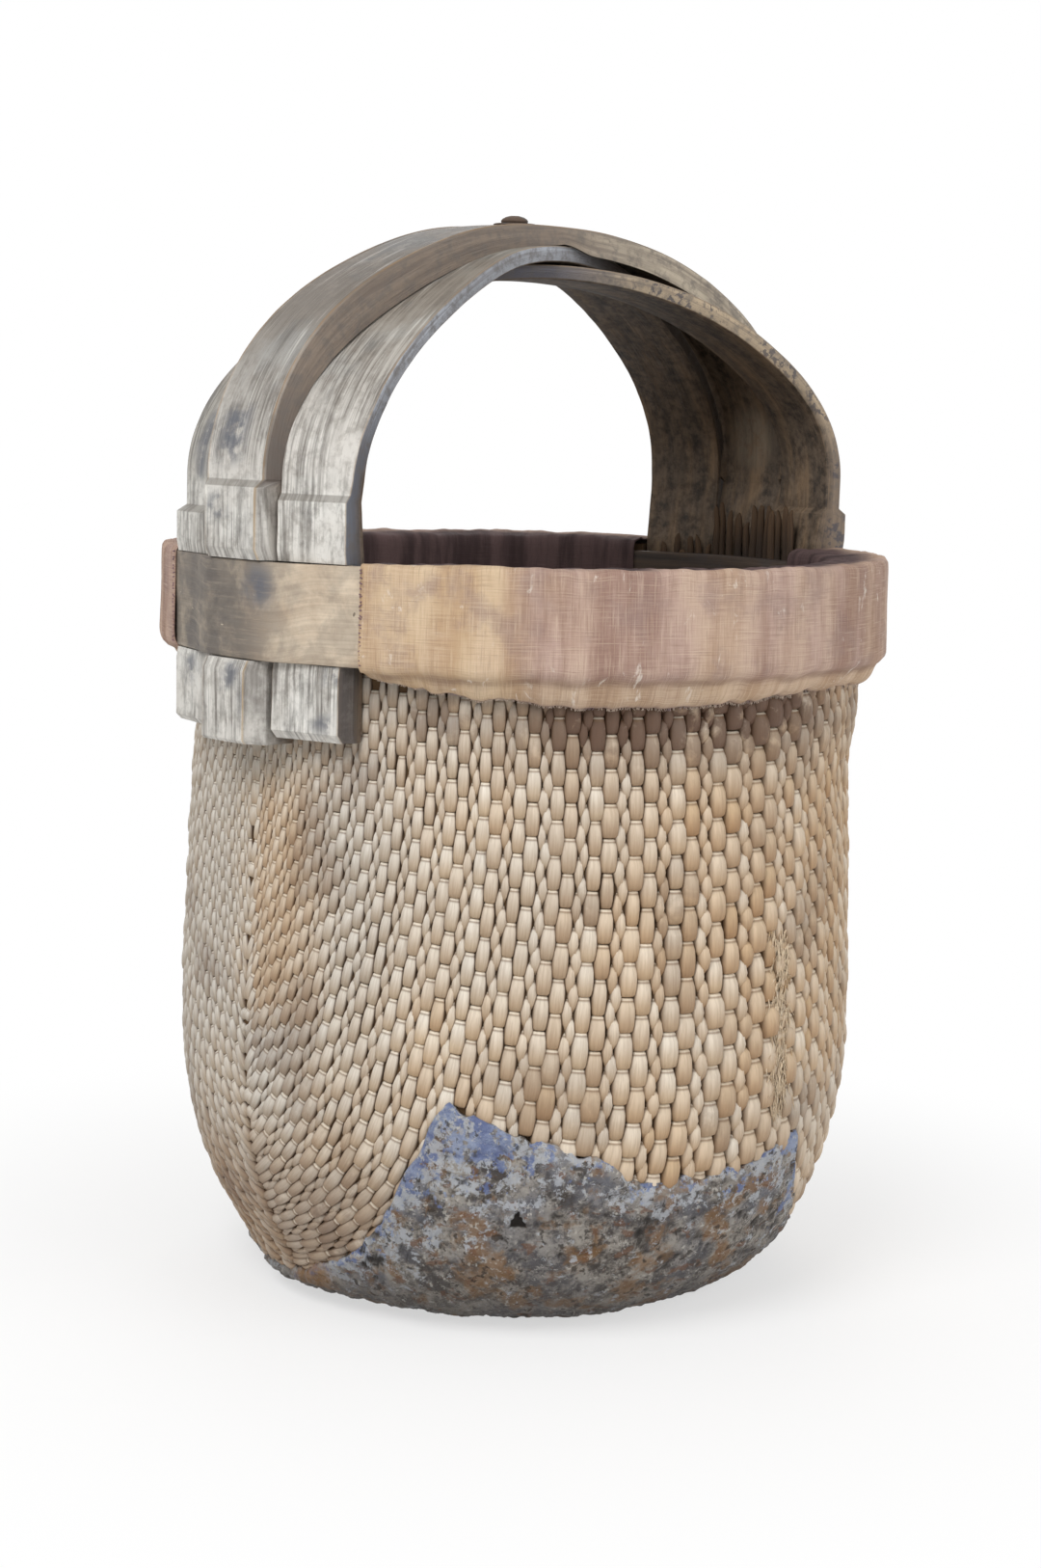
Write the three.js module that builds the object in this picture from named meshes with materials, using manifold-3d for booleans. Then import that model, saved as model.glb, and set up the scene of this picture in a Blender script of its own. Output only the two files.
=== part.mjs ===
// Gathering basket: a round woven body with a rounded bottom, a rim of two bent wood hoops dressed
// in cloth, and a fixed handle of three bent slats that cross at the crown and are pinned there.
// Millimetres, +Z up. The origin is on the ground below the middle of the rim, the handle runs along X.
import * as THREE from 'three';
import { mergeVertices } from 'three/addons/utils/BufferGeometryUtils.js';
import Module from 'manifold-3d';

const wasm = await Module();
wasm.setup();

// Clearance between pieces that touch
const touch = 0.3;
// Facets round a full turn
const turnFacets = 72;

// Woven body
const baseRadius = 103;
const bodyRadius = 187.5;
const bodyTaper = 6.5;
const bodyWall = 8;
const bottomHeight = 148;
const bottomPower = 2.11;
const bodyTopDrop = 2;
// Rods of the weave: they run down from the rim and turn in to a seam under each foot of the handle
const rodPitch = 24;
const rodRelief = 1.9;
const rodFadeDrop = 40;
const rodFadeLength = 30;
const seamTurn = -3.8;
const seamDrop = 98;
const seamPower = 2.1;
const fanDrop = 330;
const fanLength = 130;
// Rod ends left standing inside each foot of the handle
const rodEndHeight = 22;
const rodEndSpread = 21;

// Rim hoops and the packing behind the outer one
const rimHeight = 404;
const outerHoopHeight = 50;
const outerHoopThick = 5.3;
const innerHoopHeight = 44;
const innerHoopThick = 6;
const innerHoopDrop = 6;
const hoopLap = 24;
const lapTip = 1.2;
const lapPinRadius = 1.5;
const lapPinSpacing = 24;
const packingThick = 12.4;
const packingInset = 3;

// Handle slats, the centre one outside the two that cross
const centreWidth = 50;
const crossWidth = 46.5;
const slatGap = 0.9;
const crossSlatThick = 9;
const centreSlatThick = 9.5;
const crossLegInset = 5.3;
const springRise = 41;
const crownHeight = 580.5;
const crownShift = 2.4;
const centreDraw = -0.01;
const upperDraw = 0.05;
const lowerDraw = 0.011;
const footStep = 2.5;
const footSlope = 4;
const centreFootAbove = 37;
const centreFootBelow = 43;
const upperFootAbove = 32;
const lowerFootAbove = 24;
const crossFootBelow = 39;

// Crown peg with its washer, and its rove let into the slat below
const pegShift = -14;
const pegRadius = 3.2;
const pegHeadRadius = 7.5;
const pegHeadHeight = 4;
const pegTailRadius = 5;
const pegTailHeight = 2;
const washerRadius = 11.5;
const washerThick = 1.2;
const roveRadius = 9;
const roveThick = 1.5;
const roveRecess = 4;

// Rim cloth
const clothThick = 1.2;
const clothHang = 7;
const clothHemDrop = 25;
const clothInsideHang = 9;
const clothFootGap = 1.5;

// Bottom patch: direction in degrees and height of each corner of its edge
const patchThick = 2.5;
const patchCorners = [
  [-170, 38], [-159, 60], [-146, 132], [-106.5, 93], [-78, 107], [-77, 30], [-34, 26],
  [14, 108], [56, 44], [101, 98], [156, 14], [179, 20],
];

// Places that follow from the sizes above
const bodyBottom = patchThick + touch;
const bodyTop = rimHeight - bodyTopDrop;
const bodyTopRadius = bodyRadius - bodyTaper;
const rodTop = rimHeight + rodEndHeight;
const bodyInside = bodyTopRadius - bodyWall;
const innerHoopOuter = bodyInside - touch;
const innerHoopInner = innerHoopOuter - innerHoopThick;
const innerHoopTop = rimHeight - innerHoopDrop;
const innerHoopBottom = innerHoopTop - innerHoopHeight;
const footInner = bodyTopRadius + touch;
const packingOuter = footInner + packingThick;
const outerHoopInner = packingOuter + touch;
const outerHoopOuter = outerHoopInner + outerHoopThick;
const outerHoopBottom = rimHeight - outerHoopHeight;
const lowestFoot = outerHoopBottom - Math.max(centreFootBelow, crossFootBelow);
const springHeight = rimHeight + springRise;
const crossLeg = footInner + crossLegInset;
const centreLeg = crossLeg + crossSlatThick + touch;
const centreCrown = crownHeight - centreSlatThick;
const upperCrown = centreCrown - touch - crossSlatThick;
const lowerCrown = upperCrown - touch - crossSlatThick;
const roveTop = lowerCrown + roveRecess - touch;
// Turn between neighbouring slats, so that their edges lie side by side on the legs
const legMeeting = crossLeg + crossSlatThick;
const slatTurn = Math.atan((centreWidth + slatGap) / 2 / legMeeting) + Math.atan(crossWidth / 2 / legMeeting);
const legSpread = THREE.MathUtils.radToDeg(slatTurn + Math.atan(crossWidth / 2 / footInner));

const centreSlat = {
  leg: centreLeg, width: centreWidth, thick: centreSlatThick, crown: centreCrown, draw: centreDraw, turn: 0,
  shoulder: rimHeight + centreFootAbove, bottom: outerHoopBottom - centreFootBelow,
};
const upperSlat = {
  leg: crossLeg, width: crossWidth, thick: crossSlatThick, crown: upperCrown, draw: upperDraw, turn: slatTurn,
  shoulder: rimHeight + upperFootAbove, bottom: outerHoopBottom - crossFootBelow,
};
const lowerSlat = {
  leg: crossLeg, width: crossWidth, thick: crossSlatThick, crown: lowerCrown, draw: lowerDraw, turn: -slatTurn,
  shoulder: rimHeight + lowerFootAbove, bottom: outerHoopBottom - crossFootBelow,
};

// A closed mesh becomes a solid for cutting and joining
function toSolid(geometry) {
  const plain = geometry.clone();
  plain.deleteAttribute('normal');
  plain.deleteAttribute('uv');
  const merged = mergeVertices(plain, 1e-4);
  return new wasm.Manifold(new wasm.Mesh({
    numProp: 3,
    vertProperties: new Float32Array(merged.attributes.position.array),
    triVerts: new Uint32Array(merged.index.array),
  }));
}

function toGeometry(solid) {
  const mesh = solid.getMesh();
  const geometry = new THREE.BufferGeometry();
  geometry.setAttribute('position', new THREE.BufferAttribute(new Float32Array(mesh.vertProperties), 3));
  geometry.setIndex(new THREE.BufferAttribute(new Uint32Array(mesh.triVerts), 1));
  geometry.computeVertexNormals();
  return geometry;
}

// A profile of [radius, height] points turned about the upright axis, from the bottom outwards and up
function turned(profile, facets = turnFacets) {
  const points = profile.map(([radius, height]) => new THREE.Vector2(radius, height));
  const geometry = new THREE.LatheGeometry(points, facets);
  geometry.rotateX(Math.PI / 2);
  return geometry;
}

// A turned ring with a closed section
function turnedRing(section, facets = turnFacets) {
  return turned([...section, section[0]], facets);
}

function boxSection(inner, outer, bottom, top) {
  return [[inner, bottom], [outer, bottom], [outer, top], [inner, top]];
}

// A flat outline of [x, y] points raised from one height to another
function raised(outline, bottom, top) {
  const shape = new THREE.Shape(outline.map(([x, y]) => new THREE.Vector2(x, y)));
  const geometry = new THREE.ExtrudeGeometry(shape, { depth: top - bottom, bevelEnabled: false });
  geometry.translate(0, 0, bottom);
  return geometry;
}

function polar(radius, angle) {
  return [radius * Math.cos(angle), radius * Math.sin(angle)];
}

// The length of a ring that lies between two directions, in degrees
function ringLength(section, from, to) {
  const reach = 2 * outerHoopOuter;
  const steps = 8;
  const slice = [[0, 0]];
  for (let i = 0; i <= steps; i += 1) {
    slice.push(polar(reach, THREE.MathUtils.degToRad(from + (to - from) * i / steps)));
  }
  return toSolid(turnedRing(section)).intersect(toSolid(raised(slice, 0, crownHeight)));
}

// The rounded bottom from the middle (0) over the edge of the flat (1) to the wall (2), grown outwards
function bottomPoint(step, grow) {
  if (step <= 1) {
    return [step * baseRadius, bodyBottom - grow];
  }
  const angle = (step - 1) * Math.PI / 2;
  const out = Math.sin(angle) ** (2 / bottomPower);
  const up = 1 - Math.max(0, Math.cos(angle)) ** (2 / bottomPower);
  const radius = baseRadius + (bodyRadius - baseRadius + grow) * out;
  return [radius, bodyBottom - grow + (bottomHeight - bodyBottom + grow) * up];
}

// The step of bottomPoint that reaches a height
function bottomStep(height) {
  const up = (height - bodyBottom) / (bottomHeight - bodyBottom);
  return 1 + Math.acos((1 - up) ** (bottomPower / 2)) * 2 / Math.PI;
}

// The outer line of the body from the middle of its bottom up to the feet of the handle
function bodyLine(grow) {
  const bottomSteps = 6;
  const wallSteps = 3;
  const line = [[0, bodyBottom - grow]];
  for (let i = 0; i <= bottomSteps; i += 1) {
    line.push(bottomPoint(1 + i / bottomSteps, grow));
  }
  for (let i = 1; i <= wallSteps; i += 1) {
    const part = i / wallSteps;
    const radius = bodyRadius + (bodyTopRadius - bodyRadius) * part ** 1.5;
    line.push([radius + grow, bottomHeight + (lowestFoot - bottomHeight) * part]);
  }
  return line;
}

// The same line from the top of the wall down to the middle of the bottom, and its length
const outline = [...bodyLine(0), [bodyTopRadius, bodyTop]].toReversed();
const runs = outline.slice(1).map(([radius, height], i) => (
  Math.hypot(radius - outline[i][0], height - outline[i][1])));
const outlineLength = runs.reduce((sum, run) => sum + run, 0);
// A rod is known by its distance from the seam, measured round the rim, up to half way between the seams
const rodSpan = bodyRadius * Math.PI / 2;

// The point of that line at a drop below its top, sunk into the body
function outlinePoint(drop, sink) {
  let rest = drop;
  let i = 0;
  while (i < runs.length - 1 && rest > runs[i]) {
    rest -= runs[i];
    i += 1;
  }
  const along = [0, 1].map((axis) => (outline[i + 1][axis] - outline[i][axis]) / runs[i]);
  return [outline[i][0] + along[0] * rest + along[1] * sink, outline[i][1] + along[1] * rest - along[0] * sink];
}

// The drop at which the seam takes a rod in
function rodEnd(rod) {
  return seamDrop + (outlineLength - seamDrop) * (rod / rodSpan) ** (1 / seamPower);
}

// A rod's part of the quarter turn from its seam at a drop. The rods that the seam has not taken in
// are spread evenly on the wall, and fan out as a cosine over the bottom
function rodPart(rod, drop) {
  const seamPart = THREE.MathUtils.clamp((drop - seamDrop) / (outlineLength - seamDrop), 0, 1);
  const taken = rodSpan * seamPart ** seamPower;
  const fanned = THREE.MathUtils.smoothstep(drop, fanDrop, fanDrop + fanLength);
  const halvings = 30;
  let low = 0;
  let high = 1;
  for (let i = 0; i < halvings; i += 1) {
    const part = (low + high) / 2;
    const fan = (1 - fanned) * (1 - part) + fanned * Math.cos(part * Math.PI / 2);
    if (rodSpan - (rodSpan - taken) * fan < rod) {
      low = part;
    } else {
      high = part;
    }
  }
  return (low + high) / 2;
}

// The ribbed outside of the body up to its flat top. Each column follows a rod from the front rim down
// to the seam and up to the back rim, and every third column is a furrow between two ribs
function ribbedOutside() {
  const furrowEvery = 3;
  const steps = 16;
  const columns = furrowEvery * Math.max(1, Math.round(rodSpan / rodPitch));
  // Keeps the ribs inside the flats of the turned pieces that lie on them
  const facetDip = Math.cos(Math.PI / turnFacets);
  const vertices = [0, 0, bodyTop];
  const faces = [];
  const rows = 2 * steps + 1;
  [[Math.PI, 1], [0, -1]].forEach(([foot, way], side) => {
    const seam = foot + THREE.MathUtils.degToRad(seamTurn);
    for (let column = 0; column <= columns; column += 1) {
      const rod = rodSpan * column / columns;
      for (let row = 0; row < rows; row += 1) {
        const drop = rodEnd(rod) * (1 - Math.abs(row - steps) / steps);
        const shown = THREE.MathUtils.smoothstep(drop, rodFadeDrop, rodFadeDrop + rodFadeLength);
        const sink = column % furrowEvery === 0 ? rodRelief * shown : 0;
        const [radius, height] = outlinePoint(drop, sink);
        const swing = (row < steps ? way : -way) * rodPart(rod, drop) * Math.PI / 2;
        vertices.push(...polar(Math.max(0, radius) * facetDip, seam + swing), height);
      }
    }
    // Both ways up share the rod along the seam, and both sides share the rod half way between the seams
    const at = (column, row) => {
      const own = column < columns ? side : 0;
      const once = column > 0 ? row : Math.min(row, 2 * steps - row);
      return 1 + (own * (columns + 1) + column) * rows + once;
    };
    const addFace = (a, b, c) => faces.push(...(way > 0 ? [a, b, c] : [a, c, b]));
    for (let column = 0; column < columns; column += 1) {
      for (let row = 0; row < rows - 1; row += 1) {
        addFace(at(column, row), at(column, row + 1), at(column + 1, row + 1));
        addFace(at(column, row), at(column + 1, row + 1), at(column + 1, row));
      }
      addFace(0, at(column, 0), at(column + 1, 0));
      addFace(0, at(column + 1, rows - 1), at(column, rows - 1));
    }
  });
  const skin = new THREE.BufferGeometry();
  skin.setAttribute('position', new THREE.Float32BufferAttribute(vertices, 3));
  skin.setIndex(faces);
  return toSolid(skin);
}

function wovenBody() {
  const mouth = 2 * rimHeight;
  const hollow = toSolid(turned([...bodyLine(-bodyWall), [bodyInside, mouth], [0, mouth]]));
  const ends = boxSection(bodyInside, bodyTopRadius - touch, outerHoopBottom, rodTop);
  const right = ringLength(ends, -rodEndSpread, rodEndSpread);
  const left = ringLength(ends, 180 - rodEndSpread, 180 + rodEndSpread);
  return toGeometry(ribbedOutside().subtract(hollow).add(right).add(left));
}

// A crusted rag over the bottom, its edge running from corner to corner
function bottomPatch() {
  const facetAngle = 9;
  const rings = 4;
  const edge = [];
  patchCorners.forEach(([angle, height], i) => {
    const [next, nextHeight] = patchCorners[(i + 1) % patchCorners.length];
    const swing = (next - angle + 360) % 360;
    const steps = Math.ceil(swing / facetAngle);
    for (let k = 0; k < steps; k += 1) {
      const part = k / steps;
      edge.push([THREE.MathUtils.degToRad(angle + swing * part), height + (nextHeight - height) * part]);
    }
  });
  const vertices = [];
  const faces = [];
  const sheets = [touch + patchThick, -bodyWall / 2];
  for (const grow of sheets) {
    vertices.push(0, 0, bodyBottom - grow);
    for (let k = 0; k <= rings; k += 1) {
      for (const [angle, height] of edge) {
        const [radius, level] = bottomPoint(1 + (bottomStep(height) - 1) * k / rings, grow);
        vertices.push(...polar(radius, angle), level);
      }
    }
  }
  const count = edge.length;
  const sheetSize = 1 + count * (rings + 1);
  const at = (sheet, ring, i) => sheet * sheetSize + 1 + ring * count + i % count;
  for (let i = 0; i < count; i += 1) {
    faces.push(0, at(0, 0, i + 1), at(0, 0, i));
    faces.push(sheetSize, at(1, 0, i), at(1, 0, i + 1));
    for (let k = 0; k < rings; k += 1) {
      faces.push(at(0, k, i), at(0, k, i + 1), at(0, k + 1, i));
      faces.push(at(0, k + 1, i), at(0, k, i + 1), at(0, k + 1, i + 1));
      faces.push(at(1, k, i), at(1, k + 1, i), at(1, k, i + 1));
      faces.push(at(1, k + 1, i), at(1, k + 1, i + 1), at(1, k, i + 1));
    }
    faces.push(at(0, rings, i), at(0, rings, i + 1), at(1, rings, i));
    faces.push(at(1, rings, i), at(0, rings, i + 1), at(1, rings, i + 1));
  }
  const rag = new THREE.BufferGeometry();
  rag.setAttribute('position', new THREE.Float32BufferAttribute(vertices, 3));
  rag.setIndex(faces);
  const line = bodyLine(touch);
  const body = turned([...line, [0, line.at(-1)[1]]]);
  return toGeometry(toSolid(rag).subtract(toSolid(body)));
}

// A strip bent into a ring: its first end tapers on the outside, and its last end laps over it
function lappedHoop(inner, thick, bottom, top, lapDirection) {
  const outer = inner + thick;
  const lap = hoopLap / outer;
  const start = THREE.MathUtils.degToRad(lapDirection) - lap / 2;
  const rise = thick - lapTip;
  const lastPart = (rise - lapTip - touch) / rise;
  const tip = 2 * Math.PI - touch / inner;
  const lapSteps = 4;
  const outline = [];
  for (let i = 0; i <= lapSteps; i += 1) {
    const part = i / lapSteps;
    outline.push(polar(inner + lapTip + rise * part, start + lap * part));
  }
  for (let i = 1; i <= turnFacets; i += 1) {
    outline.push(polar(outer, start + lap + (2 * Math.PI + lap * (lastPart - 1)) * i / turnFacets));
  }
  for (let i = lapSteps; i >= 0; i -= 1) {
    const part = lastPart * i / lapSteps;
    outline.push(polar(inner + lapTip + touch + rise * part, start + 2 * Math.PI + lap * part));
  }
  outline.push(polar(inner + lapTip + touch, start + tip));
  for (let i = turnFacets; i >= 0; i -= 1) {
    outline.push(polar(inner, start + tip * i / turnFacets));
  }
  return toSolid(raised(outline, bottom, top));
}

// A round pin lying along the radius through the middle of a hoop's lap
function lapPin(radius, inner, outer, height, lapDirection) {
  const pin = new THREE.CylinderGeometry(radius, radius, outer - inner, 12);
  pin.rotateZ(Math.PI / 2);
  pin.translate((inner + outer) / 2, 0, height);
  pin.rotateZ(THREE.MathUtils.degToRad(lapDirection));
  return pin;
}

const pinLevels = [-lapPinSpacing / 2, lapPinSpacing / 2];

function pinnedHoop(inner, thick, bottom, top, lapDirection) {
  let hoop = lappedHoop(inner, thick, bottom, top, lapDirection);
  const middle = (bottom + top) / 2;
  for (const level of pinLevels) {
    const hole = lapPin(lapPinRadius + touch, inner - thick, inner + 2 * thick, middle + level, lapDirection);
    hoop = hoop.subtract(toSolid(hole));
  }
  return toGeometry(hoop);
}

// A point of a bent slat in its own upright plane: half an ellipse on straight legs, its haunches drawn in
function archPoint(part, leg, crown, draw) {
  const angle = part * Math.PI;
  const pull = 1 - draw * Math.sin(2 * angle) ** 2;
  const along = -leg * Math.cos(angle) * pull + crownShift * Math.sin(angle) ** 2;
  return [along, springHeight + (crown - springHeight) * Math.sin(angle) * pull];
}

function archLine(leg, crown, draw) {
  const steps = 32;
  return Array.from({ length: steps + 1 }, (_, i) => archPoint(i / steps, leg, crown, draw));
}

// An outline in a slat's upright plane made as thick as the slat is wide, and turned into its direction
function acrossSlat(outline, width, turn) {
  const geometry = raised(outline, -width / 2, width / 2);
  geometry.rotateX(Math.PI / 2);
  geometry.rotateZ(turn);
  return toSolid(geometry);
}

// A slat in the side view that it has along its own plane, with a thick foot at each end
function slatSolid({ leg, width, thick, crown, draw, turn, shoulder, bottom }, grow = 0) {
  const outer = leg + thick;
  const face = outer + footStep;
  const foot = [[footInner, bottom], [face, bottom], [face, shoulder], [outer, shoulder + footSlope]];
  const mirrored = foot.map(([x, z]) => [-x, z]);
  const step = [[leg, shoulder + footSlope], [footInner, shoulder]];
  const outline = [
    ...mirrored, ...archLine(outer, crown + thick, draw), ...foot.toReversed(),
    ...step.toReversed(), ...archLine(leg, crown, draw).toReversed(), ...step.map(([x, z]) => [-x, z]),
  ];
  return acrossSlat(outline, width + 2 * grow, turn);
}

// The room that a slat and what lies over it take up, for trimming a slat that passes below
function roomAbove({ leg, width, crown, draw, turn }) {
  const under = archLine(leg - touch, crown - touch, draw);
  const side = 2 * outerHoopOuter;
  const top = 2 * crownHeight;
  const outline = [[-side, springHeight], ...under, [side, springHeight], [side, top], [-side, top]];
  return acrossSlat(outline, width + 2 * touch, turn);
}

// The peg's bore through the crown, opened out below for the rove
function crownHole() {
  const bottom = lowerCrown - crossSlatThick;
  const step = lowerCrown + roveRecess;
  const hole = turned([
    [0, bottom], [roveRadius + touch, bottom], [roveRadius + touch, step], [pegRadius + touch, step],
    [pegRadius + touch, 2 * crownHeight], [0, 2 * crownHeight],
  ], 24);
  hole.translate(pegShift, 0, 0);
  return toSolid(hole);
}

// A slat is notched for the outer hoop, bored for the peg, trimmed under the slats above it
// and trimmed to stand between the feet beside it
function handleSlat(slat, above, beside) {
  const reach = 2 * outerHoopOuter;
  const seat = boxSection(outerHoopInner - touch, reach, outerHoopBottom - touch, rimHeight + touch);
  let solid = slatSolid(slat).subtract(toSolid(turnedRing(seat))).subtract(crownHole());
  for (const other of above) {
    solid = solid.subtract(roomAbove(other));
  }
  const belowArch = toSolid(turned([[0, 0], [reach, 0], [reach, springHeight], [0, springHeight]]));
  for (const other of beside) {
    solid = solid.subtract(slatSolid(other, touch).intersect(belowArch));
  }
  return toGeometry(solid);
}

// A round headed peg, its tail clenched under the rove
function crownPeg() {
  const headBase = crownHeight + washerThick + 2 * touch;
  const tailTop = roveTop - roveThick - touch;
  const tailBottom = tailTop - pegTailHeight;
  const profile = [
    [0, tailBottom], [pegTailRadius, tailBottom], [pegTailRadius, tailTop], [pegRadius, tailTop],
    [pegRadius, headBase],
  ];
  const domeSteps = 5;
  for (let i = 0; i <= domeSteps; i += 1) {
    const angle = i / domeSteps * Math.PI / 2;
    profile.push([pegHeadRadius * Math.cos(angle), headBase + pegHeadHeight * Math.sin(angle)]);
  }
  return turned(profile, 20);
}

function pegPlate(radius, bottom, thick) {
  return turnedRing(boxSection(pegRadius + touch, radius, bottom, bottom + thick), 24);
}

// A line of points made into a closed strip, thickened to the left of the way it runs
function thickened(line, thick) {
  const shifted = line.map((point, i) => {
    const before = line[Math.max(0, i - 1)];
    const after = line[Math.min(line.length - 1, i + 1)];
    const into = new THREE.Vector2(point[0] - before[0], point[1] - before[1]).normalize();
    const out = new THREE.Vector2(after[0] - point[0], after[1] - point[1]).normalize();
    const along = into.add(out).normalize();
    const edge = i === 0 || i === line.length - 1 ? along : out;
    const reach = thick / Math.abs(along.dot(edge));
    return [point[0] - along.y * reach, point[1] + along.x * reach];
  });
  return [...shifted, ...line.toReversed()];
}

// Cloth from its hem on the body, up over both hoops, and down to the inside of the body
function rimCloth(from, to) {
  const outside = outerHoopOuter + touch;
  const inside = innerHoopInner - touch;
  const over = rimHeight + touch;
  const line = [
    [bodyInside - touch, innerHoopBottom - 2 * clothInsideHang],
    [inside, innerHoopBottom - clothInsideHang],
    [inside, innerHoopTop + touch],
    [bodyInside, over],
    [outside, over],
    [outside, outerHoopBottom - clothHang],
    [footInner + packingThick / 2, outerHoopBottom - 2 * clothHang],
    [footInner, outerHoopBottom - clothHemDrop],
  ];
  return toGeometry(ringLength(thickened(line, clothThick).toReversed(), from, to));
}

function rimPacking(from, to) {
  const bottom = outerHoopBottom + packingInset;
  return toGeometry(ringLength(boxSection(footInner, packingOuter, bottom, rimHeight - packingInset), from, to));
}

// Finishes
const willow = { color: 0xc3a379, roughness: 0.75, metalness: 0 };
const weatheredWood = { color: 0xb0a493, roughness: 0.8, metalness: 0 };
const hoopWood = { color: 0x8d7d69, roughness: 0.75, metalness: 0 };
const darkWood = { color: 0x4a3d31, roughness: 0.7, metalness: 0 };
const agedCloth = { color: 0xb08d6c, roughness: 0.9, metalness: 0 };
const crust = { color: 0x6d675f, roughness: 0.9, metalness: 0 };
const darkIron = { color: 0x4b4038, roughness: 0.6, metalness: 0.7 };

const basket = new THREE.Group();

function addPiece(name, geometry, finish) {
  const piece = new THREE.Mesh(geometry, new THREE.MeshStandardMaterial(finish));
  piece.name = name;
  basket.add(piece);
  return piece;
}

addPiece('woven_body', wovenBody(), willow);
addPiece('bottom_patch', bottomPatch(), crust);

// Each hoop's lap lies under the cloth
const hoops = [
  { name: 'outer_hoop', inner: outerHoopInner, thick: outerHoopThick, lapDirection: 90,
    bottom: outerHoopBottom, top: rimHeight, finish: hoopWood },
  { name: 'inner_hoop', inner: innerHoopInner, thick: innerHoopThick, lapDirection: 270,
    bottom: innerHoopBottom, top: innerHoopTop, finish: darkWood },
];
for (const { name, inner, thick, lapDirection, bottom, top, finish } of hoops) {
  addPiece(name, pinnedHoop(inner, thick, bottom, top, lapDirection), finish);
  pinLevels.forEach((level, i) => {
    const middle = (bottom + top) / 2;
    const pin = lapPin(lapPinRadius, inner + touch, inner + thick - touch, middle + level, lapDirection);
    addPiece(`${name}_pin_${i + 1}`, pin, darkWood);
  });
}

addPiece('handle_centre_slat', handleSlat(centreSlat, [], [upperSlat, lowerSlat]), weatheredWood);
addPiece('handle_upper_cross_slat', handleSlat(upperSlat, [centreSlat], []), weatheredWood);
addPiece('handle_lower_cross_slat', handleSlat(lowerSlat, [centreSlat, upperSlat], []), weatheredWood);

const crownPin = new THREE.Group();
crownPin.position.x = pegShift;
crownPin.add(addPiece('crown_peg', crownPeg(), darkIron));
crownPin.add(addPiece('crown_washer', pegPlate(washerRadius, crownHeight + touch, washerThick), darkIron));
crownPin.add(addPiece('crown_rove', pegPlate(roveRadius, roveTop - roveThick, roveThick), darkIron));
basket.add(crownPin);

// Between the feet of the handle the rim is packed out and dressed in cloth, front and back
const legEdge = legSpread + THREE.MathUtils.radToDeg(clothFootGap / outerHoopOuter);
const sides = [['front', 180], ['back', 0]];
for (const [side, leg] of sides) {
  addPiece(`rim_packing_${side}`, rimPacking(leg + legEdge, leg + 180 - legEdge), willow);
  addPiece(`rim_cloth_${side}`, rimCloth(leg + legEdge, leg + 180 - legEdge), agedCloth);
}

export default basket;
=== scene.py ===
import math
import bpy
import numpy as np
from mathutils import Matrix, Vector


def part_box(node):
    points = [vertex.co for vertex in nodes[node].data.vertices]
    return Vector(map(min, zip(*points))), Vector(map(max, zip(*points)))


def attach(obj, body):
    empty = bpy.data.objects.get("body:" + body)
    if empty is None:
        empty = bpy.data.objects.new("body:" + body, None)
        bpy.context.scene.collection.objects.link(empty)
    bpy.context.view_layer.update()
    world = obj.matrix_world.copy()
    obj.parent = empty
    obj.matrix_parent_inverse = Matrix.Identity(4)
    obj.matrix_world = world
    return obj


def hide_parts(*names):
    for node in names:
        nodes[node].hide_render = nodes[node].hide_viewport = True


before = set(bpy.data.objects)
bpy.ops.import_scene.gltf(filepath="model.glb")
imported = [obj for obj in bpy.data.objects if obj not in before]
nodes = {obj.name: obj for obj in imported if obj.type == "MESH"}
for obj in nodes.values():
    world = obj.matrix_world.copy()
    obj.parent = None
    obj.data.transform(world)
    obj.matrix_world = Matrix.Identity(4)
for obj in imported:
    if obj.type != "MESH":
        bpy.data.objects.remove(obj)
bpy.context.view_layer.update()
mm = 0.001  # lengths below are millimetres and angles degrees; makePiece turns them into metres
print("frame loaded:", len(nodes), "nodes")


# A node's lowest and highest corner in millimetres
def nodeBox(name):
    low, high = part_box(name)
    return np.array(low) / mm, np.array(high) / mm


bodyHigh = nodeBox("woven_body")[1]
hoopLow, hoopHigh = nodeBox("outer_hoop")
innerLow, innerHigh = nodeBox("inner_hoop")
rimTop, hoopBottom, hoopOuter = hoopHigh[2], hoopLow[2], hoopHigh[0]


# Smooth noise from -1 to 1: random values on a lattice of the given size, eased between its corners
def latticeNoise(points, size, seed):
    scaled = points / size + 1000
    cell = np.floor(scaled).astype(np.int64)
    part = scaled - cell
    ease = part * part * (3 - 2 * part)
    total = np.zeros(points.shape[:-1])
    for corner in np.ndindex(2, 2, 2):
        at = cell + np.array(corner)
        mixed = at[..., 0] * 73856093 ^ at[..., 1] * 19349663 ^ at[..., 2] * 83492791 ^ seed * 40503
        mixed = (mixed ^ (mixed >> 13)) * 1274126177 & 0xFFFFFFFF
        value = ((mixed ^ (mixed >> 16)) & 0xFFFF) / 32767.5 - 1
        total += value * np.prod(np.where(np.array(corner) == 1, ease, 1 - ease), axis=-1)
    return total


# Noises laid over one another, each an amount, a lattice size and a seed
def noiseSum(points, *layers):
    return sum(amount * latticeNoise(points, size, seed) for amount, size, seed in layers)


# Eases from 0 at the first value to 1 at the second
def easeStep(first, second, value):
    part = np.clip((value - first) / (second - first), 0, 1)
    return part * part * (3 - 2 * part)


# One array of points or pairs from arrays that fit together
def stacked(*arrays):
    return np.stack(np.broadcast_arrays(*arrays), axis=-1)


# Points round Z from radius, angle and height
def turned(radius, turn, height):
    return stacked(radius * np.cos(turn), radius * np.sin(turn), height)


# Angles of a full turn in even steps
def fullTurn(count):
    return np.linspace(0, 2 * math.pi, count, endpoint=False)


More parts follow.
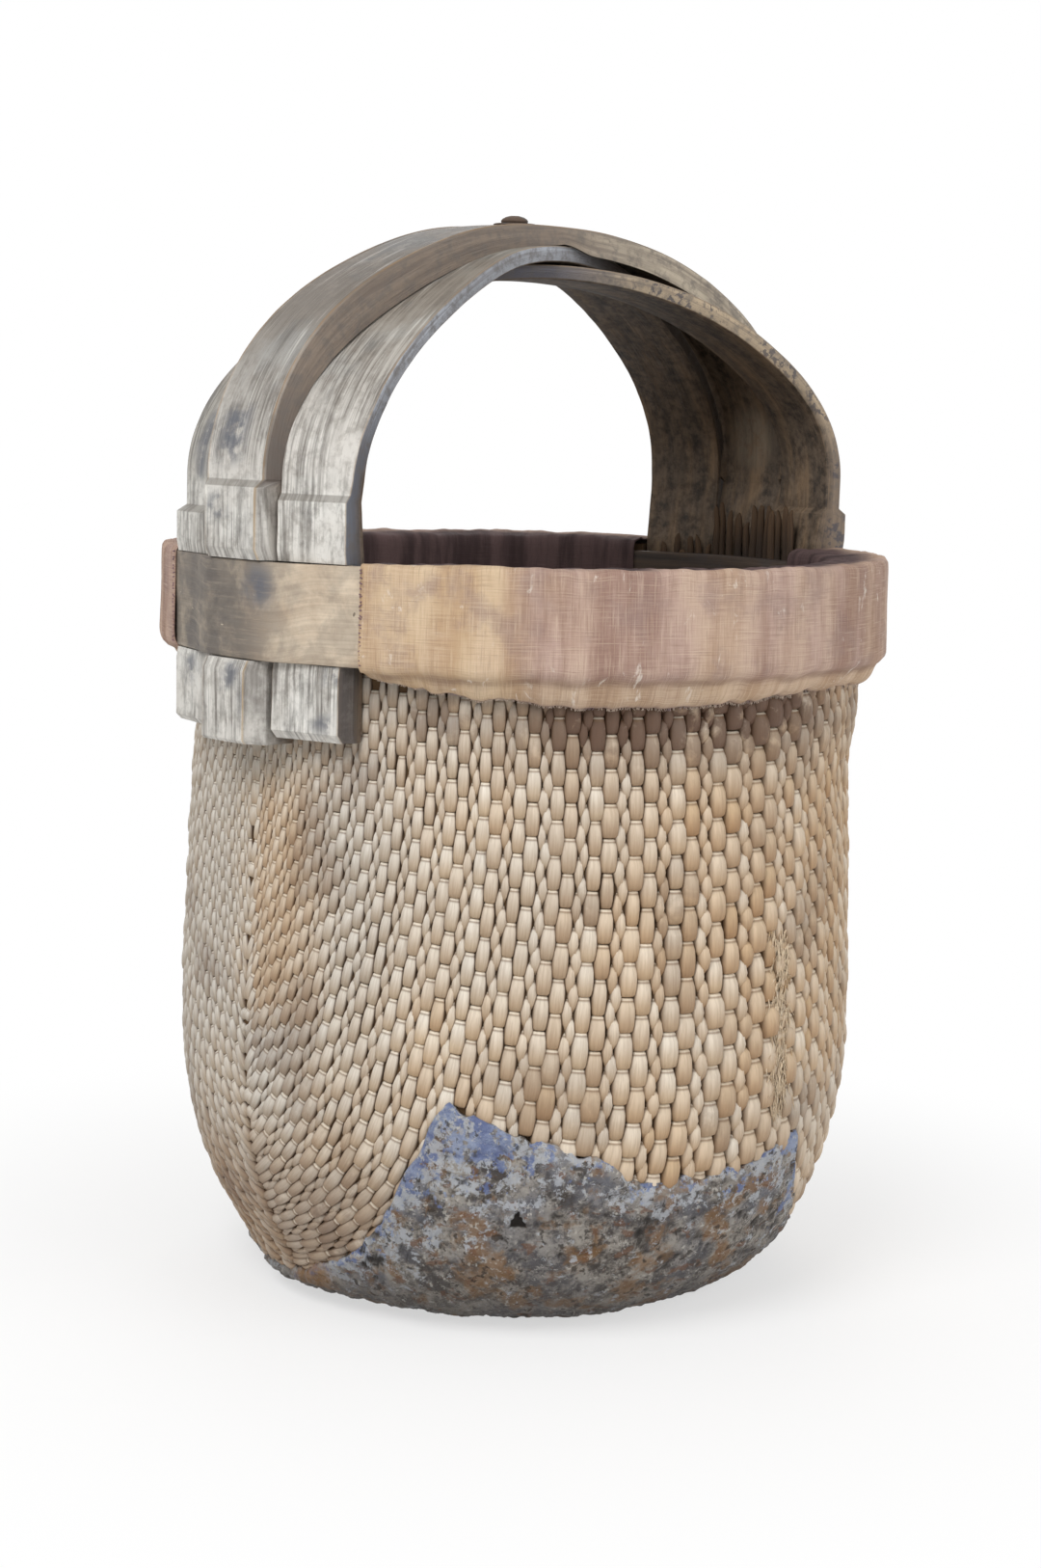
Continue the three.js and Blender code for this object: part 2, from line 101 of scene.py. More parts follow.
# Degrees from an origin to an angle, between -180 and 180
def turnPast(turn, origin):
    return (np.degrees(turn) - origin + 180) % 360 - 180


# Degrees from an angle to the nearer of the two handle feet
def turnFromFeet(turn):
    return np.abs((np.degrees(turn) + 90) % 180 - 90)


# Length along a line of points, from its start
def runAlong(line):
    return np.concatenate([[0], np.cumsum(np.linalg.norm(np.diff(line, axis=0), axis=1))])


# A column of a table, read off by the first column with straight runs between
def readTable(table, at, column=1):
    table = np.array(table, float)
    return np.interp(at, table[:, 0], table[:, column])


bodyShape = dict(
    baseRadius=103, radius=187.5, topRadius=181, base=2.8,
    bottomHeight=148, bottomPower=2.11, footHeight=311, wallPower=1.5)


# The body's outline from the rim down, as radius and height: neck, swelling wall, superellipse and flat base
def bodyOutline(count, shape):
    bottom, base, widest, narrow = [shape[key] for key in ("bottomHeight", "base", "radius", "baseRadius")]
    neck = np.linspace(rimTop, shape["footHeight"], 60)
    wall = np.linspace(shape["footHeight"], bottom, 160)[1:]
    part = (wall - bottom) / (shape["footHeight"] - bottom)
    wallRadius = widest - (widest - shape["topRadius"]) * part ** shape["wallPower"]
    turn = np.linspace(math.pi / 2, 0, 400)[1:]
    power = 2 / shape["bottomPower"]
    roundRadius = narrow + (widest - narrow) * np.sin(turn) ** power
    roundHeight = base + (bottom - base) * (1 - np.cos(turn) ** power)
    flat = np.linspace(narrow, 0, 60)[1:]
    radius = np.concatenate([np.full(60, shape["topRadius"]), wallRadius, roundRadius, flat])
    height = np.concatenate([neck, wall, roundHeight, np.full(59, base)])
    length = np.concatenate([[0], np.cumsum(np.hypot(np.diff(radius), np.diff(height)))])
    even = np.linspace(0, length[-1], count)
    return even, np.interp(even, length, radius), np.interp(even, length, height)


outlineLength, outlineRadius, outlineHeight = bodyOutline(900, bodyShape)
outlineOut = -np.gradient(outlineHeight, outlineLength)   # the outward normal's radius part
outlineUp = np.gradient(outlineRadius, outlineLength)     # and its height part
bodyLength = outlineLength[-1]

# The lower corner sits out to one side
fullCorner = dict(turn=170, height=11, wide=25, tall=13, out=10.5, from_=40, to=125)


def radiusAt(down):
    return np.interp(down, outlineLength, outlineRadius)


def heightAt(down):
    return np.interp(down, outlineLength, outlineHeight)


# A point of the body: turn round Z, length down the outline from the rim, lift along the outward normal
def bodyPoint(turn, down, lift):
    aside = turnPast(turn, fullCorner["turn"]) / fullCorner["wide"]
    above = (heightAt(down) - fullCorner["height"]) / fullCorner["tall"]
    puff = np.exp(-aside ** 2 - above ** 2)
    flank = easeStep(fullCorner["from_"], fullCorner["to"], radiusAt(down))
    radius = radiusAt(down) + lift * np.interp(down, outlineLength, outlineOut)
    radius = radius + fullCorner["out"] * puff * flank
    return turned(radius, turn, heightAt(down) + lift * np.interp(down, outlineLength, outlineUp))


# Quads of a grid of rows and columns, joined end to start where a direction is closed
def gridQuads(rows, columns, closedRows=False, closedColumns=False):
    row, column = np.meshgrid(
        np.arange(rows if closedRows else rows - 1),
        np.arange(columns if closedColumns else columns - 1), indexing="ij")
    nextRow, nextColumn = (row + 1) % rows, (column + 1) % columns
    quads = [row * columns + column, row * columns + nextColumn,
             nextRow * columns + nextColumn, nextRow * columns + column]
    return np.stack(quads, axis=-1).reshape(-1, 4)


# Faces of many closed tubes of one build laid one after another: the sides and two end caps of each
def tubeFaces(count, rings, ring):
    base = np.arange(count)[:, None, None] * rings * ring
    sides = (gridQuads(rings, ring, closedColumns=True)[None] + base).reshape(-1, 4)
    cap = np.arange(ring)[None, :]
    return [sides, cap[:, ::-1] + base[:, 0], cap + (rings - 1) * ring + base[:, 0]]


# A closed turned shell: rows of rings from one pole to the other, each pole one point
def poleShell(rows):
    count, columns = rows.shape[:2]
    points = np.concatenate([rows[0, :1], rows[1:-1].reshape(-1, 3), rows[-1, :1]])
    quads = gridQuads(count - 2, columns, closedColumns=True) + 1
    column = np.arange(columns)
    after = (column + 1) % columns
    last = 1 + (count - 3) * columns
    first = np.stack([np.zeros(columns, int), 1 + after, 1 + column], axis=-1)
    final = np.stack([np.full(columns, len(points) - 1), last + column, last + after], axis=-1)
    return points, [quads, first, final]


# A mesh object that rides on the root body; a closed piece of negative volume has its faces turned round
def makePiece(name, points, faces, material, stands=(), uv=None, values=None, closed=True, sharp=None):
    points = points.reshape(-1, 3)
    groups = [np.asarray(group) for group in faces]
    if closed:
        volume = 0
        for group in groups:
            first = points[group[:, 0]]
            for step in range(1, group.shape[1] - 1):
                side = np.cross(points[group[:, step]], points[group[:, step + 1]])
                volume += np.sum(first * side)
        if volume < 0:
            groups = [group[:, ::-1] for group in groups]
    mesh = bpy.data.meshes.new(name)
    mesh.from_pydata((points * mm).tolist(), [], sum([group.tolist() for group in groups], []))
    mesh.polygons.foreach_set("use_smooth", np.ones(len(mesh.polygons), bool))
    if uv is not None:
        corners = np.concatenate([group.ravel() for group in groups])
        mesh.uv_layers.new(name="surface").data.foreach_set(
            "uv", uv.reshape(-1, 2)[corners].astype(np.float32).ravel())
    for key, value in (values or {}).items():
        made = mesh.attributes.new(key, "FLOAT", "POINT")
        made.data.foreach_set("value", np.asarray(value, np.float32).ravel())
    mesh.materials.append(material)
    mesh.update()
    if sharp:
        mesh.set_sharp_from_angle(angle=math.radians(sharp))
    piece = bpy.data.objects.new(name, mesh)
    bpy.context.scene.collection.objects.link(piece)
    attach(piece, "root")
    if stands:
        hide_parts(*stands)
    return piece


# Linear colour from the 0 to 255 numbers of a paint chart
def tint(red, green, blue):
    chart = np.array([red, green, blue]) / 255
    linear = np.where(chart <= 0.04045, chart / 12.92, ((chart + 0.055) / 1.055) ** 2.4)
    return (*linear.tolist(), 1.0)


# An output in a node tree; sums, differences and products of wires become Math nodes
class Wire:
    def __init__(self, tree, socket):
        self.tree, self.socket = tree, socket

    def step(self, operation, other=0.0, clamp=False):
        return wire(self.tree, "Math", {0: self, 1: other}, operation=operation, use_clamp=clamp)

    def __add__(self, other):
        return self.step("ADD", other)

    def __sub__(self, other):
        return self.step("SUBTRACT", other)

    def __rsub__(self, other):
        return wire(self.tree, "Math", {0: other, 1: self}, operation="SUBTRACT")

    def __mul__(self, other):
        return self.step("MULTIPLY", other)

    # Eased from one number to another while the wire goes from low to high
    def eased(self, low, high, toLow=0.0, toHigh=1.0):
        ends = {"Value": self, "From Min": low, "From Max": high, "To Min": toLow, "To Max": toHigh}
        return wire(self.tree, "MapRange", ends, interpolation_type="SMOOTHSTEP")


# Links a wire to a socket, or sets the socket's own value
def feed(tree, socket, value):
    if isinstance(value, Wire):
        tree.links.new(value.socket, socket)
    else:
        socket.default_value = value


# A shader node with its inputs fed by name
def place(tree, kind, inputs, **options):
    made = tree.nodes.new("ShaderNode" + kind)
    for key, value in options.items():
        setattr(made, key, value)
    for key, value in inputs.items():
        feed(tree, made.inputs[key], value)
    return made


# The same, as a wire from one of the node's outputs
def wire(tree, kind, inputs, output=0, **options):
    return Wire(tree, place(tree, kind, inputs, **options).outputs[output])


# One colour where the mask is 0 and another where it is 1, each a wire or three numbers of a paint chart
def wash(mask, first, second):
    made = place(mask.tree, "Mix", {0: mask}, data_type="RGBA")
    for index, value in ((6, first), (7, second)):
        feed(mask.tree, made.inputs[index], tint(*value) if isinstance(value, tuple) else value)
    return Wire(mask.tree, made.outputs[2])


# Lays colours over a first one, each by its own mask
def layered(colour, *layers):
    for mask, shade in layers:
        colour = wash(mask, colour, shade)
    return colour


def noise(vector, scale, detail=4.0, rough=0.55, twist=0.0):
    return wire(vector.tree, "TexNoise", {"Vector": vector, "Scale": scale, "Detail": detail,
                                          "Roughness": rough, "Distortion": twist})


def scaled(vector, factors):
    return wire(vector.tree, "VectorMath", {0: vector, 1: factors}, operation="MULTIPLY")


def drawnNoise(vector, across, along, detail, rough=0.55, twist=0.0):
    return noise(scaled(vector, (across, along, 1.0)), 1.0, detail, rough, twist)


def distance(vector, spot):
    return wire(vector.tree, "VectorMath", {0: vector, 1: spot}, "Value", operation="DISTANCE")


def split(vector):
    parts = place(vector.tree, "SeparateXYZ", {"Vector": vector}).outputs
    return [Wire(vector.tree, socket) for socket in parts]


def combine(tree, x, y, z):
    return wire(tree, "CombineXYZ", {"X": x, "Y": y, "Z": z})


def attributes(tree, *names):
    return [wire(tree, "Attribute", {}, "Fac", attribute_name=name) for name in names]


# A node group with named sockets; fill draws its inside and returns the outputs
def nodeGroup(name, inputs, outputs, fill):
    tree = bpy.data.node_groups.new(name, "ShaderNodeTree")
    for socket, kind in inputs.items():
        tree.interface.new_socket(socket, in_out="INPUT", socket_type="NodeSocket" + kind)
    for socket in outputs:
        tree.interface.new_socket(socket, in_out="OUTPUT", socket_type="NodeSocketFloat")
    entry, leave = tree.nodes.new("NodeGroupInput"), tree.nodes.new("NodeGroupOutput")
    entries = [Wire(tree, entry.outputs[socket]) for socket in inputs]
    for socket, value in zip(outputs, fill(*entries)):
        feed(tree, leave.inputs[socket], value)
    return tree


def useGroup(group, **inputs):
    tree = inputs["Vector"].tree
    made = place(tree, "Group", {}, node_tree=group)
    for key, value in inputs.items():
        feed(tree, made.inputs[key], value)
    return [Wire(tree, socket) for socket in made.outputs]


# Wood grain: noise drawn out along the second axis, broad streaks and fine fibres
def fillGrain(vector, across, along):
    drawn = scaled(vector, combine(vector.tree, across, along, 1.0))
    return noise(drawn, 1.0, 5.0, 0.6, 0.4).eased(0.36, 0.66), drawnNoise(drawn, 5.0, 1.6, 3.0, 0.6)


# Weathered blotches: rough noise cut at a level, so that more level means more of the surface
def fillBlotch(vector, scale, level, edge):
    high = 1.0 - level
    return (noise(vector, scale, 6.0, 0.62, 0.3).eased(high - edge, high),)


grainGroup = nodeGroup("drawn grain", {"Vector": "Vector", "Across": "Float", "Along": "Float"},
                       ["Streaks", "Fibres"], fillGrain)
blotchGroup = nodeGroup("weathered blotches",
                        {"Vector": "Vector", "Scale": "Float", "Level": "Float", "Edge": "Float"},
                        ["Mask"], fillBlotch)


def grain(vector, across, along):
    return useGroup(grainGroup, Vector=vector, Across=across, Along=along)


def blotch(vector, scale, level, edge):
    return useGroup(blotchGroup, Vector=vector, Scale=scale, Level=level, Edge=edge)[0]


# A material with one Principled shader, its tree, and wires of the place in space and on the surface
def newMaterial(name, specular=0.35):
    material = bpy.data.materials.new(name)
    material.use_nodes = True
    tree = material.node_tree
    tree.nodes["Principled BSDF"].inputs["Specular IOR Level"].default_value = specular
    coords = tree.nodes.new("ShaderNodeTexCoord").outputs
    return material, tree, Wire(tree, coords["Object"]), Wire(tree, coords["UV"])


# Feeds a material's shader and returns the material
def dress(material, colour, rough, height, strength, deep):
    tree = material.node_tree
    normal = wire(tree, "Bump", {"Height": height, "Strength": strength, "Distance": deep})
    for key, value in (("Base Color", colour), ("Roughness", rough), ("Normal", normal)):
        feed(tree, tree.nodes["Principled BSDF"].inputs[key], value)
    return material


# Two colours in blotches, rough to match, finely pitted
def makeBlotched(name, first, second, specular, scale, edge, rough, pits, strength, deep):
    material, tree, spot, uv = newMaterial(name, specular)
    mask = blotch(spot, scale, 0.5, edge)
    colour = wash(mask, first, second)
    return dress(material, colour, mask.eased(0.0, 1.0, *rough), noise(spot, pits), strength, deep)


# Willow: pale at a stitch's upper end, partly a painted highlight, and oranger below; painted shade at its
# edges and a painted shadow line below each joint; greyed or stained in places, with painted shade under the
# hem
def makeWillow():
    material, tree, spot, uv = newMaterial("peeled willow")
    across, along, unused = split(uv)
    tone, aged, stain = attributes(tree, "tone", "aged", "stain")
    streaks, fibres = grain(combine(tree, across, along, tone * 40.0), 7.0, 1.2)
    # the paler upper end stands partly for a painted highlight on the stitch's top
    upper = wash(tone, (200, 173, 139), (234, 226, 212))
    lower = wash(tone, (163, 128, 92), (205, 180, 148))
    blotched = blotch(spot, 70.0, 0.5, 0.2) * stain
    # a dark band just under the pale lip: the painted shadow cast by the stitch above
    jointShadow = along.eased(0.15, 0.09) * along.eased(0.05, 0.085)
    # the stitch's sides are darkened: painted shade where it meets the gaps
    side = (across - 0.5).step("ABSOLUTE")
    colour = layered(
        wash(along.eased(0.12, 0.95), upper, lower),
        (aged, wash(along.eased(0.1, 0.95), (213, 208, 199), (164, 152, 136))),
        (streaks * 0.26, (130, 102, 74)),
        # this darkening is real stain together with painted shade under the hem
        ((stain * 0.3).step("ADD", blotched, True), (98, 75, 60)),
        (jointShadow * 0.6, (112, 84, 58)),
        (along.eased(0.07, 0.04) * 0.5, (238, 228, 208)),
        (side.eased(0.32, 0.52) * 0.8, (90, 66, 46)))
    return dress(material, colour, fibres.eased(0.2, 0.8, 0.45, 0.7), fibres * 0.6 + streaks, 0.25, 0.0004)


# Handle wood: grey legs, a darker crown that is painted shade, ochre arrises, edge faces coloured by side,
# dark inside
def makeHandleWood(name, leg, crown, leftHigh, leftLow, rightHigh, rightLow, specked=0.0):
    material, tree, spot, uv = newMaterial(name)
    x, y, z = split(spot)
    inside, edge, ridge, groove, mark, cut = attributes(
        tree, "inside", "edge", "ridge", "groove", "mark", "cut")
    streaks, fibres = grain(uv, 520.0, 16.0)
    coarse = grain(uv, 130.0, 11.0)[0]
    mottled = noise(spot, 150.0, 8.0, 0.7)
    high, low = z.eased(0.45, 0.555), z.eased(0.505, 0.45)
    broken = drawnNoise(uv, 80.0, 20.0, 6.0, 0.68).eased(0.5, 0.66)
    lines = streaks * noise(spot, 22.0, 4.0).eased(0.34, 0.58) * 0.78
    chalk = drawnNoise(uv, 230.0, 12.0, 5.0, 0.64).eased(0.55, 0.7)
    brown = blotch(spot, 18.0, 0.46, 0.16) * high.eased(0.0, 1.0, 0.1, 0.22)
    smudge = mark * noise(spot, 90.0, 6.0, 0.65).eased(0.36, 0.56)
    frayed = noise(spot, 60.0, 4.0).eased(0.34, 0.56, 0.25, 0.6)
    # the face darkens from the legs up to the crown: painted shade on the crown
    face = layered(
        wash(high, leg, crown),
        (z.eased(0.45, 0.434, 0.0, 0.75), (240, 238, 232)),
        (mottled.eased(0.44, 0.66, 0.0, 0.5), (146, 141, 134)),
        (broken * 0.58, (100, 98, 96)),
        (lines, (88, 84, 80)),
        (chalk * 0.55, (226, 223, 216)),
        (brown, (144, 122, 98)),
        (smudge * 0.85, (94, 98, 108)),
        (ridge * frayed, (156, 124, 86)),
        (groove * 0.6, (190, 162, 122)),
        (cut * 0.6, (112, 106, 98)))
    specks = blotch(spot, 260.0, 0.43, 0.06) * blotch(spot, 30.0, 0.5, 0.1)
    flank = layered(
        wash(x.eased(-0.01, 0.06), wash(low, leftHigh, leftLow), wash(low, rightHigh, rightLow)),
        (z.eased(0.37, 0.35, 0.0, 0.85), (72, 62, 54)),
        (streaks * 0.6, (96, 86, 80)),
        (mottled.eased(0.44, 0.64, 0.0, 0.62), (104, 98, 93)),
        (specks * x.eased(0.0, 0.05, 0.0, specked), (66, 66, 76)))
    warm = drawnNoise(uv, 50.0, 9.0, 6.0, 0.68).eased(0.4, 0.7) * z.eased(0.56, 0.47, 0.4, 0.9)
    rubbed = distance(spot, (0.19, 0.0, 0.468)).eased(0.024, 0.01) * mottled.eased(0.38, 0.56)
    deep = layered(
        wash(mottled.eased(0.36, 0.66), (122, 105, 88), (48, 40, 33)),
        (warm, (156, 128, 98)),
        (rubbed * 0.8, (150, 134, 114)),
        (coarse * 0.42, (38, 31, 26)))
    colour = layered(face, (edge, flank), (inside, deep), (fibres * 0.2, (74, 68, 62)))
    height = fibres + mottled - lines * 0.9
    return dress(material, colour, fibres.eased(0.2, 0.8, 0.5, 0.78), height, 0.45, 0.0008)


# The bare plate of the outer hoop: grey-brown turning tan to one side, fine streaks along it, dusky blotches
def makePlateWood():
    material, tree, spot, uv = newMaterial("bare hoop wood")
    x, y, z = split(spot)
    streaks, fibres = grain(uv, 620.0, 16.0)
    mottled = noise(spot, 34.0, 7.0, 0.66)
    light = mottled.eased(0.35, 0.65)
    tan = (y + (mottled - 0.5) * 0.07).eased(0.012, -0.05)
    near = distance(spot, (-0.1987, -0.016, 0.391)).eased(0.017, 0.004)
    colour = layered(
        wash(tan, wash(light, (102, 96, 90), (160, 148, 132)), wash(light, (186, 167, 145), (216, 200, 178))),
        (blotch(spot, 44.0, 0.44, 0.16) * tan.eased(0.0, 1.0, 0.6, 0.3), (92, 88, 86)),
        (near * mottled.eased(0.36, 0.54, 0.3, 0.9), (92, 96, 106)),
        (streaks * 0.2, (96, 84, 74)),
        (drawnNoise(uv, 320.0, 26.0, 6.0, 0.7, 0.1).eased(0.5, 0.68, 0.0, 0.2), (196, 180, 158)),
        (drawnNoise(uv, 300.0, 110.0, 2.0).eased(0.72, 0.76) * 0.6, (208, 196, 178)),
        (drawnNoise(uv, 130.0, 190.0, 1.0).eased(0.24, 0.22) * 0.7, (74, 60, 50)))
    return dress(material, colour, fibres.eased(0.2, 0.8, 0.5, 0.75), fibres + mottled, 0.35, 0.0006)


# Dark strip wood: brown with streaks along its length
def makeDarkWood():
    material, tree, spot, uv = newMaterial("dark hoop wood")
    streaks, fibres = grain(uv, 190.0, 7.0)
    colour = layered(
        wash(streaks, (78, 62, 49), (40, 32, 27)),
        (blotch(spot, 22.0, 0.42, 0.12) * 0.7, (58, 50, 48)),
        (fibres * 0.35, (40, 32, 27)))
    return dress(material, colour, fibres.eased(0.2, 0.8, 0.5, 0.75), fibres, 0.3, 0.0005)


# Rim canvas: upright bands of ochre or mauve, a lighter skirt partly painted as light catching its bulge, a
# painted shadow in the crease above it, painted shade on the cloth inside the rim, threads showing both ways
def makeCanvas():
    material, tree, spot, uv = newMaterial("stained canvas", 0.2)
    warm, skirt, hem, inside = attributes(tree, "warm", "skirt", "hem", "inside")
    bands = drawnNoise(uv, 46.0, 6.0, 6.0, 0.64).eased(0.38, 0.62)
    ochre = wash(bands, (186, 157, 125), (206, 182, 152))
    mauve = wash(bands, (150, 121, 109), (184, 158, 146))
    cloud = noise(spot, 40.0, 7.0, 0.64)
    # crease darkens the tuck between the bulge and the skirt: a painted shadow under the bulge
    crease = skirt * (1.0 - skirt) * cloud.eased(0.3, 0.6, 0.8, 2.2)
    upright = drawnNoise(uv, 1500.0, 50.0, 2.0, 0.5)
    level = drawnNoise(uv, 50.0, 1500.0, 2.0, 0.5)
    pale = upright.eased(0.5, 0.74).step("MAXIMUM", level.eased(0.5, 0.74))
    dark = upright.eased(0.46, 0.26).step("MAXIMUM", level.eased(0.46, 0.26))
    torn = drawnNoise(uv, 130.0, 60.0, 5.0, 0.65, 0.6).eased(0.6, 0.68)
    colour = layered(
        wash(warm, mauve, ochre),
        (cloud.eased(0.46, 0.68, 0.0, 0.55), (146, 124, 118)),
        # the skirt's lighter colour is partly a painted highlight where it bulges out
        (skirt * 0.55, wash(bands, (184, 156, 123), (207, 184, 155))),
        (crease, (122, 96, 80)),
        (pale * 0.28, (222, 202, 178)),
        (dark * 0.3, (120, 92, 78)),
        (torn * blotch(spot, 22.0, 0.43, 0.1) * 0.65, (226, 217, 206)),
        (hem * 0.5, (150, 128, 128)),
        # the cloth turned down inside the rim is darkened as painted shade
        (inside, wash(bands, (60, 47, 47), (92, 74, 73))))
    return dress(material, colour, pale.eased(0.0, 1.0, 0.92, 0.75), pale - dark + cloud * 2.0, 0.35, 0.0006)


# Patch crust: grey-brown stiff rag with ochre and rust, and blue paint left in pieces along its edge
def makeCrust():
    material, tree, spot, uv = newMaterial("crusted rag", 0.4)
    x, y, z = split(spot)
    relief, paint, border = attributes(tree, "relief", "paint", "border")
    mottled = noise(spot, 75.0, 10.0, 0.74)
    cool = noise(spot, 26.0, 7.0, 0.66).eased(0.44, 0.62, 0.0, 0.75) * paint.eased(0.0, 0.5, 0.4, 1.0)
    rust = blotch(scaled(spot, (1.0, 1.0, 1.6)), 95.0, 0.37, 0.05)
    flecked = noise(spot, 100.0, 9.0, 0.76) + paint * 0.16
    torn = (noise(spot, 48.0, 8.0, 0.68) - 0.5) * 1.7
    film = paint + torn + (noise(spot, 190.0, 6.0, 0.7) - 0.5) * 1.5
    grains = noise(spot, 280.0, 5.0, 0.68).eased(0.575, 0.63) * relief.eased(0.3, 0.65, 0.15, 0.8)
    near = distance(spot, (-0.152, -0.004, 0.024)).eased(0.024, 0.008)
    colour = layered(
        wash(mottled.eased(0.42, 0.58), (72, 64, 58), (178, 171, 162)),
        (cool, (120, 123, 134)),
        (blotch(spot, 40.0, 0.4, 0.1) * 0.66, (148, 108, 62)),
        (rust * 0.65, (124, 82, 52)),
        (border * noise(spot, 110.0, 4.0).eased(0.4, 0.58) * 0.75, (186, 180, 172)),
        (flecked.eased(0.59, 0.63, 0.0, 0.85), (200, 204, 211)),
        (film.eased(0.68, 0.78) * 0.9, wash(mottled.eased(0.4, 0.6), (104, 120, 168), (164, 177, 206))),
        (grains, (214, 210, 202)),
        (blotch(spot, 150.0, 0.36, 0.06) * 0.8, (52, 44, 39)),
        (relief.eased(0.34, 0.08), (42, 36, 32)),
        (near * mottled.eased(0.35, 0.55, 0.2, 0.8), (178, 132, 76)),
        (z.eased(0.05, 0.005, 0.0, 0.5), (58, 50, 45)))
    rugged = noise(spot, 300.0, 6.0, 0.7) + mottled * 1.5
    return dress(material, colour, mottled.eased(0.35, 0.65, 0.42, 0.8), rugged, 0.95, 0.0024)


# Rod ends are smoke-dark, with an orange cut tip
def makeRodEndWood():
    material, tree, spot, uv = newMaterial("dark rod ends", 0.25)
    streaks, fibres = grain(uv, 9.0, 2.0)
    colour = layered(
        wash(attributes(tree, "tone")[0], (38, 30, 24), (74, 57, 42)),
        (split(uv)[1].eased(0.6, 0.98) * 0.6, (98, 74, 51)),
        (streaks * 0.5, (36, 28, 23)))
    return dress(material, colour, fibres.eased(0.2, 0.8, 0.6, 0.85), fibres, 0.4, 0.0006)


willow, plateWood, darkWood, rodEndWood = makeWillow(), makePlateWood(), makeDarkWood(), makeRodEndWood()
canvas, crust = makeCanvas(), makeCrust()
handleWoods = {
    "centre": makeHandleWood("centre slat wood", (222, 219, 213), (100, 98, 95), (134, 120, 107),
                             (112, 102, 95), (196, 183, 163), (112, 98, 86)),
    "upper": makeHandleWood("upper cross slat wood", (232, 229, 223), (142, 138, 130), (184, 189, 198),
                            (104, 109, 120), (72, 60, 50), (64, 53, 44)),
    "lower": makeHandleWood("lower cross slat wood", (196, 192, 184), (120, 115, 107), (98, 99, 110),
                            (98, 99, 110), (196, 176, 148), (136, 118, 100), specked=0.75),
}
# a dark colour that stands for painted shade in the gaps between stitches, also used for the rim packing
gapShade = makeBlotched("willow web in painted shade", (64, 48, 36), (100, 78, 56), specular=0.2, scale=60.0, edge=0.2,
                    rough=(0.75, 0.95), pits=400.0, strength=0.4, deep=0.0008)
pegIron = makeBlotched("worn peg iron", (58, 50, 46), (88, 72, 61), specular=0.4, scale=180.0, edge=0.15,
                       rough=(0.5, 0.8), pits=500.0, strength=0.4, deep=0.0006)
thread = dict(specular=0.2, scale=90.0, edge=0.2, rough=(0.85, 0.95), pits=1500.0, strength=0.3, deep=0.0002)
hemThread = makeBlotched("grey purple hem thread", (140, 120, 130), (206, 188, 172), **thread)
splitWillow = makeBlotched("pale split willow", (190, 160, 122), (226, 208, 182), **thread)
seamThread = makeBlotched("dark purple seam thread", (84, 68, 80), (128, 104, 108), **thread)
print("materials made")


patchShape = dict(
    corners=[(-180, 20), (-178, 23.5), (-166, 38.5), (-162, 47), (-156.5, 65), (-154, 80), (-151.5, 96),
             (-149, 107), (-147, 124), (-144.2, 137), (-142.4, 130), (-139.4, 128), (-135, 120.5),
             (-130, 117.5), (-125, 109.6), (-118, 103.4), (-115, 97), (-110, 93.4), (-103, 91.5), (-94, 92),
             (-87, 99.6), (-79, 105), (-77, 82), (-65, 40.4), (-34, 26), (-10, 70), (14, 108), (56, 44),
             (101, 98), (130, 52), (156, 14), (180, 20)],
    jag=3.4, thick=2.6, columns=680, rows=136, hole=(-133.0, 75.0), holeSize=5.0, backRows=12,
    # where paint is left: angle, reach from the edge, how much of it
    paint=[(-180, 18, 0.6), (-165, 20, 0.66), (-157, 30, 0.74), (-151, 40, 0.86), (-146, 50, 0.95),
           (-138, 46, 0.95), (-131, 28, 0.72), (-118, 18, 0.64), (-106, 15, 0.66), (-90, 18, 0.7),
           (-84, 30, 0.85), (-77, 34, 0.9), (-70, 12, 0.4), (-20, 10, 0.4), (14, 20, 0.7), (40, 10, 0.4),
           (101, 18, 0.7), (140, 10, 0.4), (180, 16, 0.5)])


# The patch's edge at an angle, as length down the body: straight runs between corners, made ragged by noise
def patchEdge(turn, shape):
    turn = turnPast(turn, 0)
    height = readTable(shape["corners"], turn)
    ring = turned(bodyShape["radius"], np.radians(turn), 0)
    wall = outlineLength < bodyLength - bodyShape["baseRadius"]
    down = np.interp(height, outlineHeight[wall][::-1], outlineLength[wall][::-1])
    return down + shape["jag"] * noiseSum(ring, (0.5, 16, 3), (0.6, 6, 4), (0.4, 3, 5))


weave = dict(
    seam=-3.8, seamTop=100, seamPower=2.1, lateFrom=285, lateOver=254, late=0.6, roundFrom=180, roundTo=440,
    roundShare=0.4, top=55, pitch=17.0, pitchGrowth=0.17,
    periodSeam=15.0, periodGrowth=13.0, periodPower=2.2, seamFiner=5.0, seamReach=48,
    seamShort=0.28, shortReach=88, base=-2.3,
    places=(0.185, 0.54, 0.815, 0.925), phases=(0.0, 0.5, 0.0, 0.5),
    widths=(0.44, 0.44, 0.31, 0.31), rise=(0.42, 0.42, 0.5, 0.5), sink=(0.0, 0.0, 0.1, 0.1),
    lengths=(0.99, 0.99, 0.95, 0.95))
fullDepth = bodyShape["radius"] * math.pi / 2   # rod coordinate half way between the seams


# The rod coordinate that the seam has taken in at a length down: a power of it, faster over the bottom
def seamDepth(down):
    part = np.clip((down - weave["seamTop"]) / (bodyLength - weave["seamTop"]), 0, 1)
    late = np.clip((down - weave["lateFrom"]) / weave["lateOver"], 0, 1)
    return fullDepth * np.minimum(part ** weave["seamPower"] + weave["late"] * late ** 2, 1)


# The rod coordinate at a share of the quarter turn: an even fan on the wall, partly a cosine below
def rodCoordinate(share, down):
    rounded = weave["roundShare"] * easeStep(weave["roundFrom"], weave["roundTo"], down)
    fan = (1 - rounded) * (1 - share) + rounded * np.cos(share * math.pi / 2)
    return fullDepth - (fullDepth - seamDepth(down)) * fan


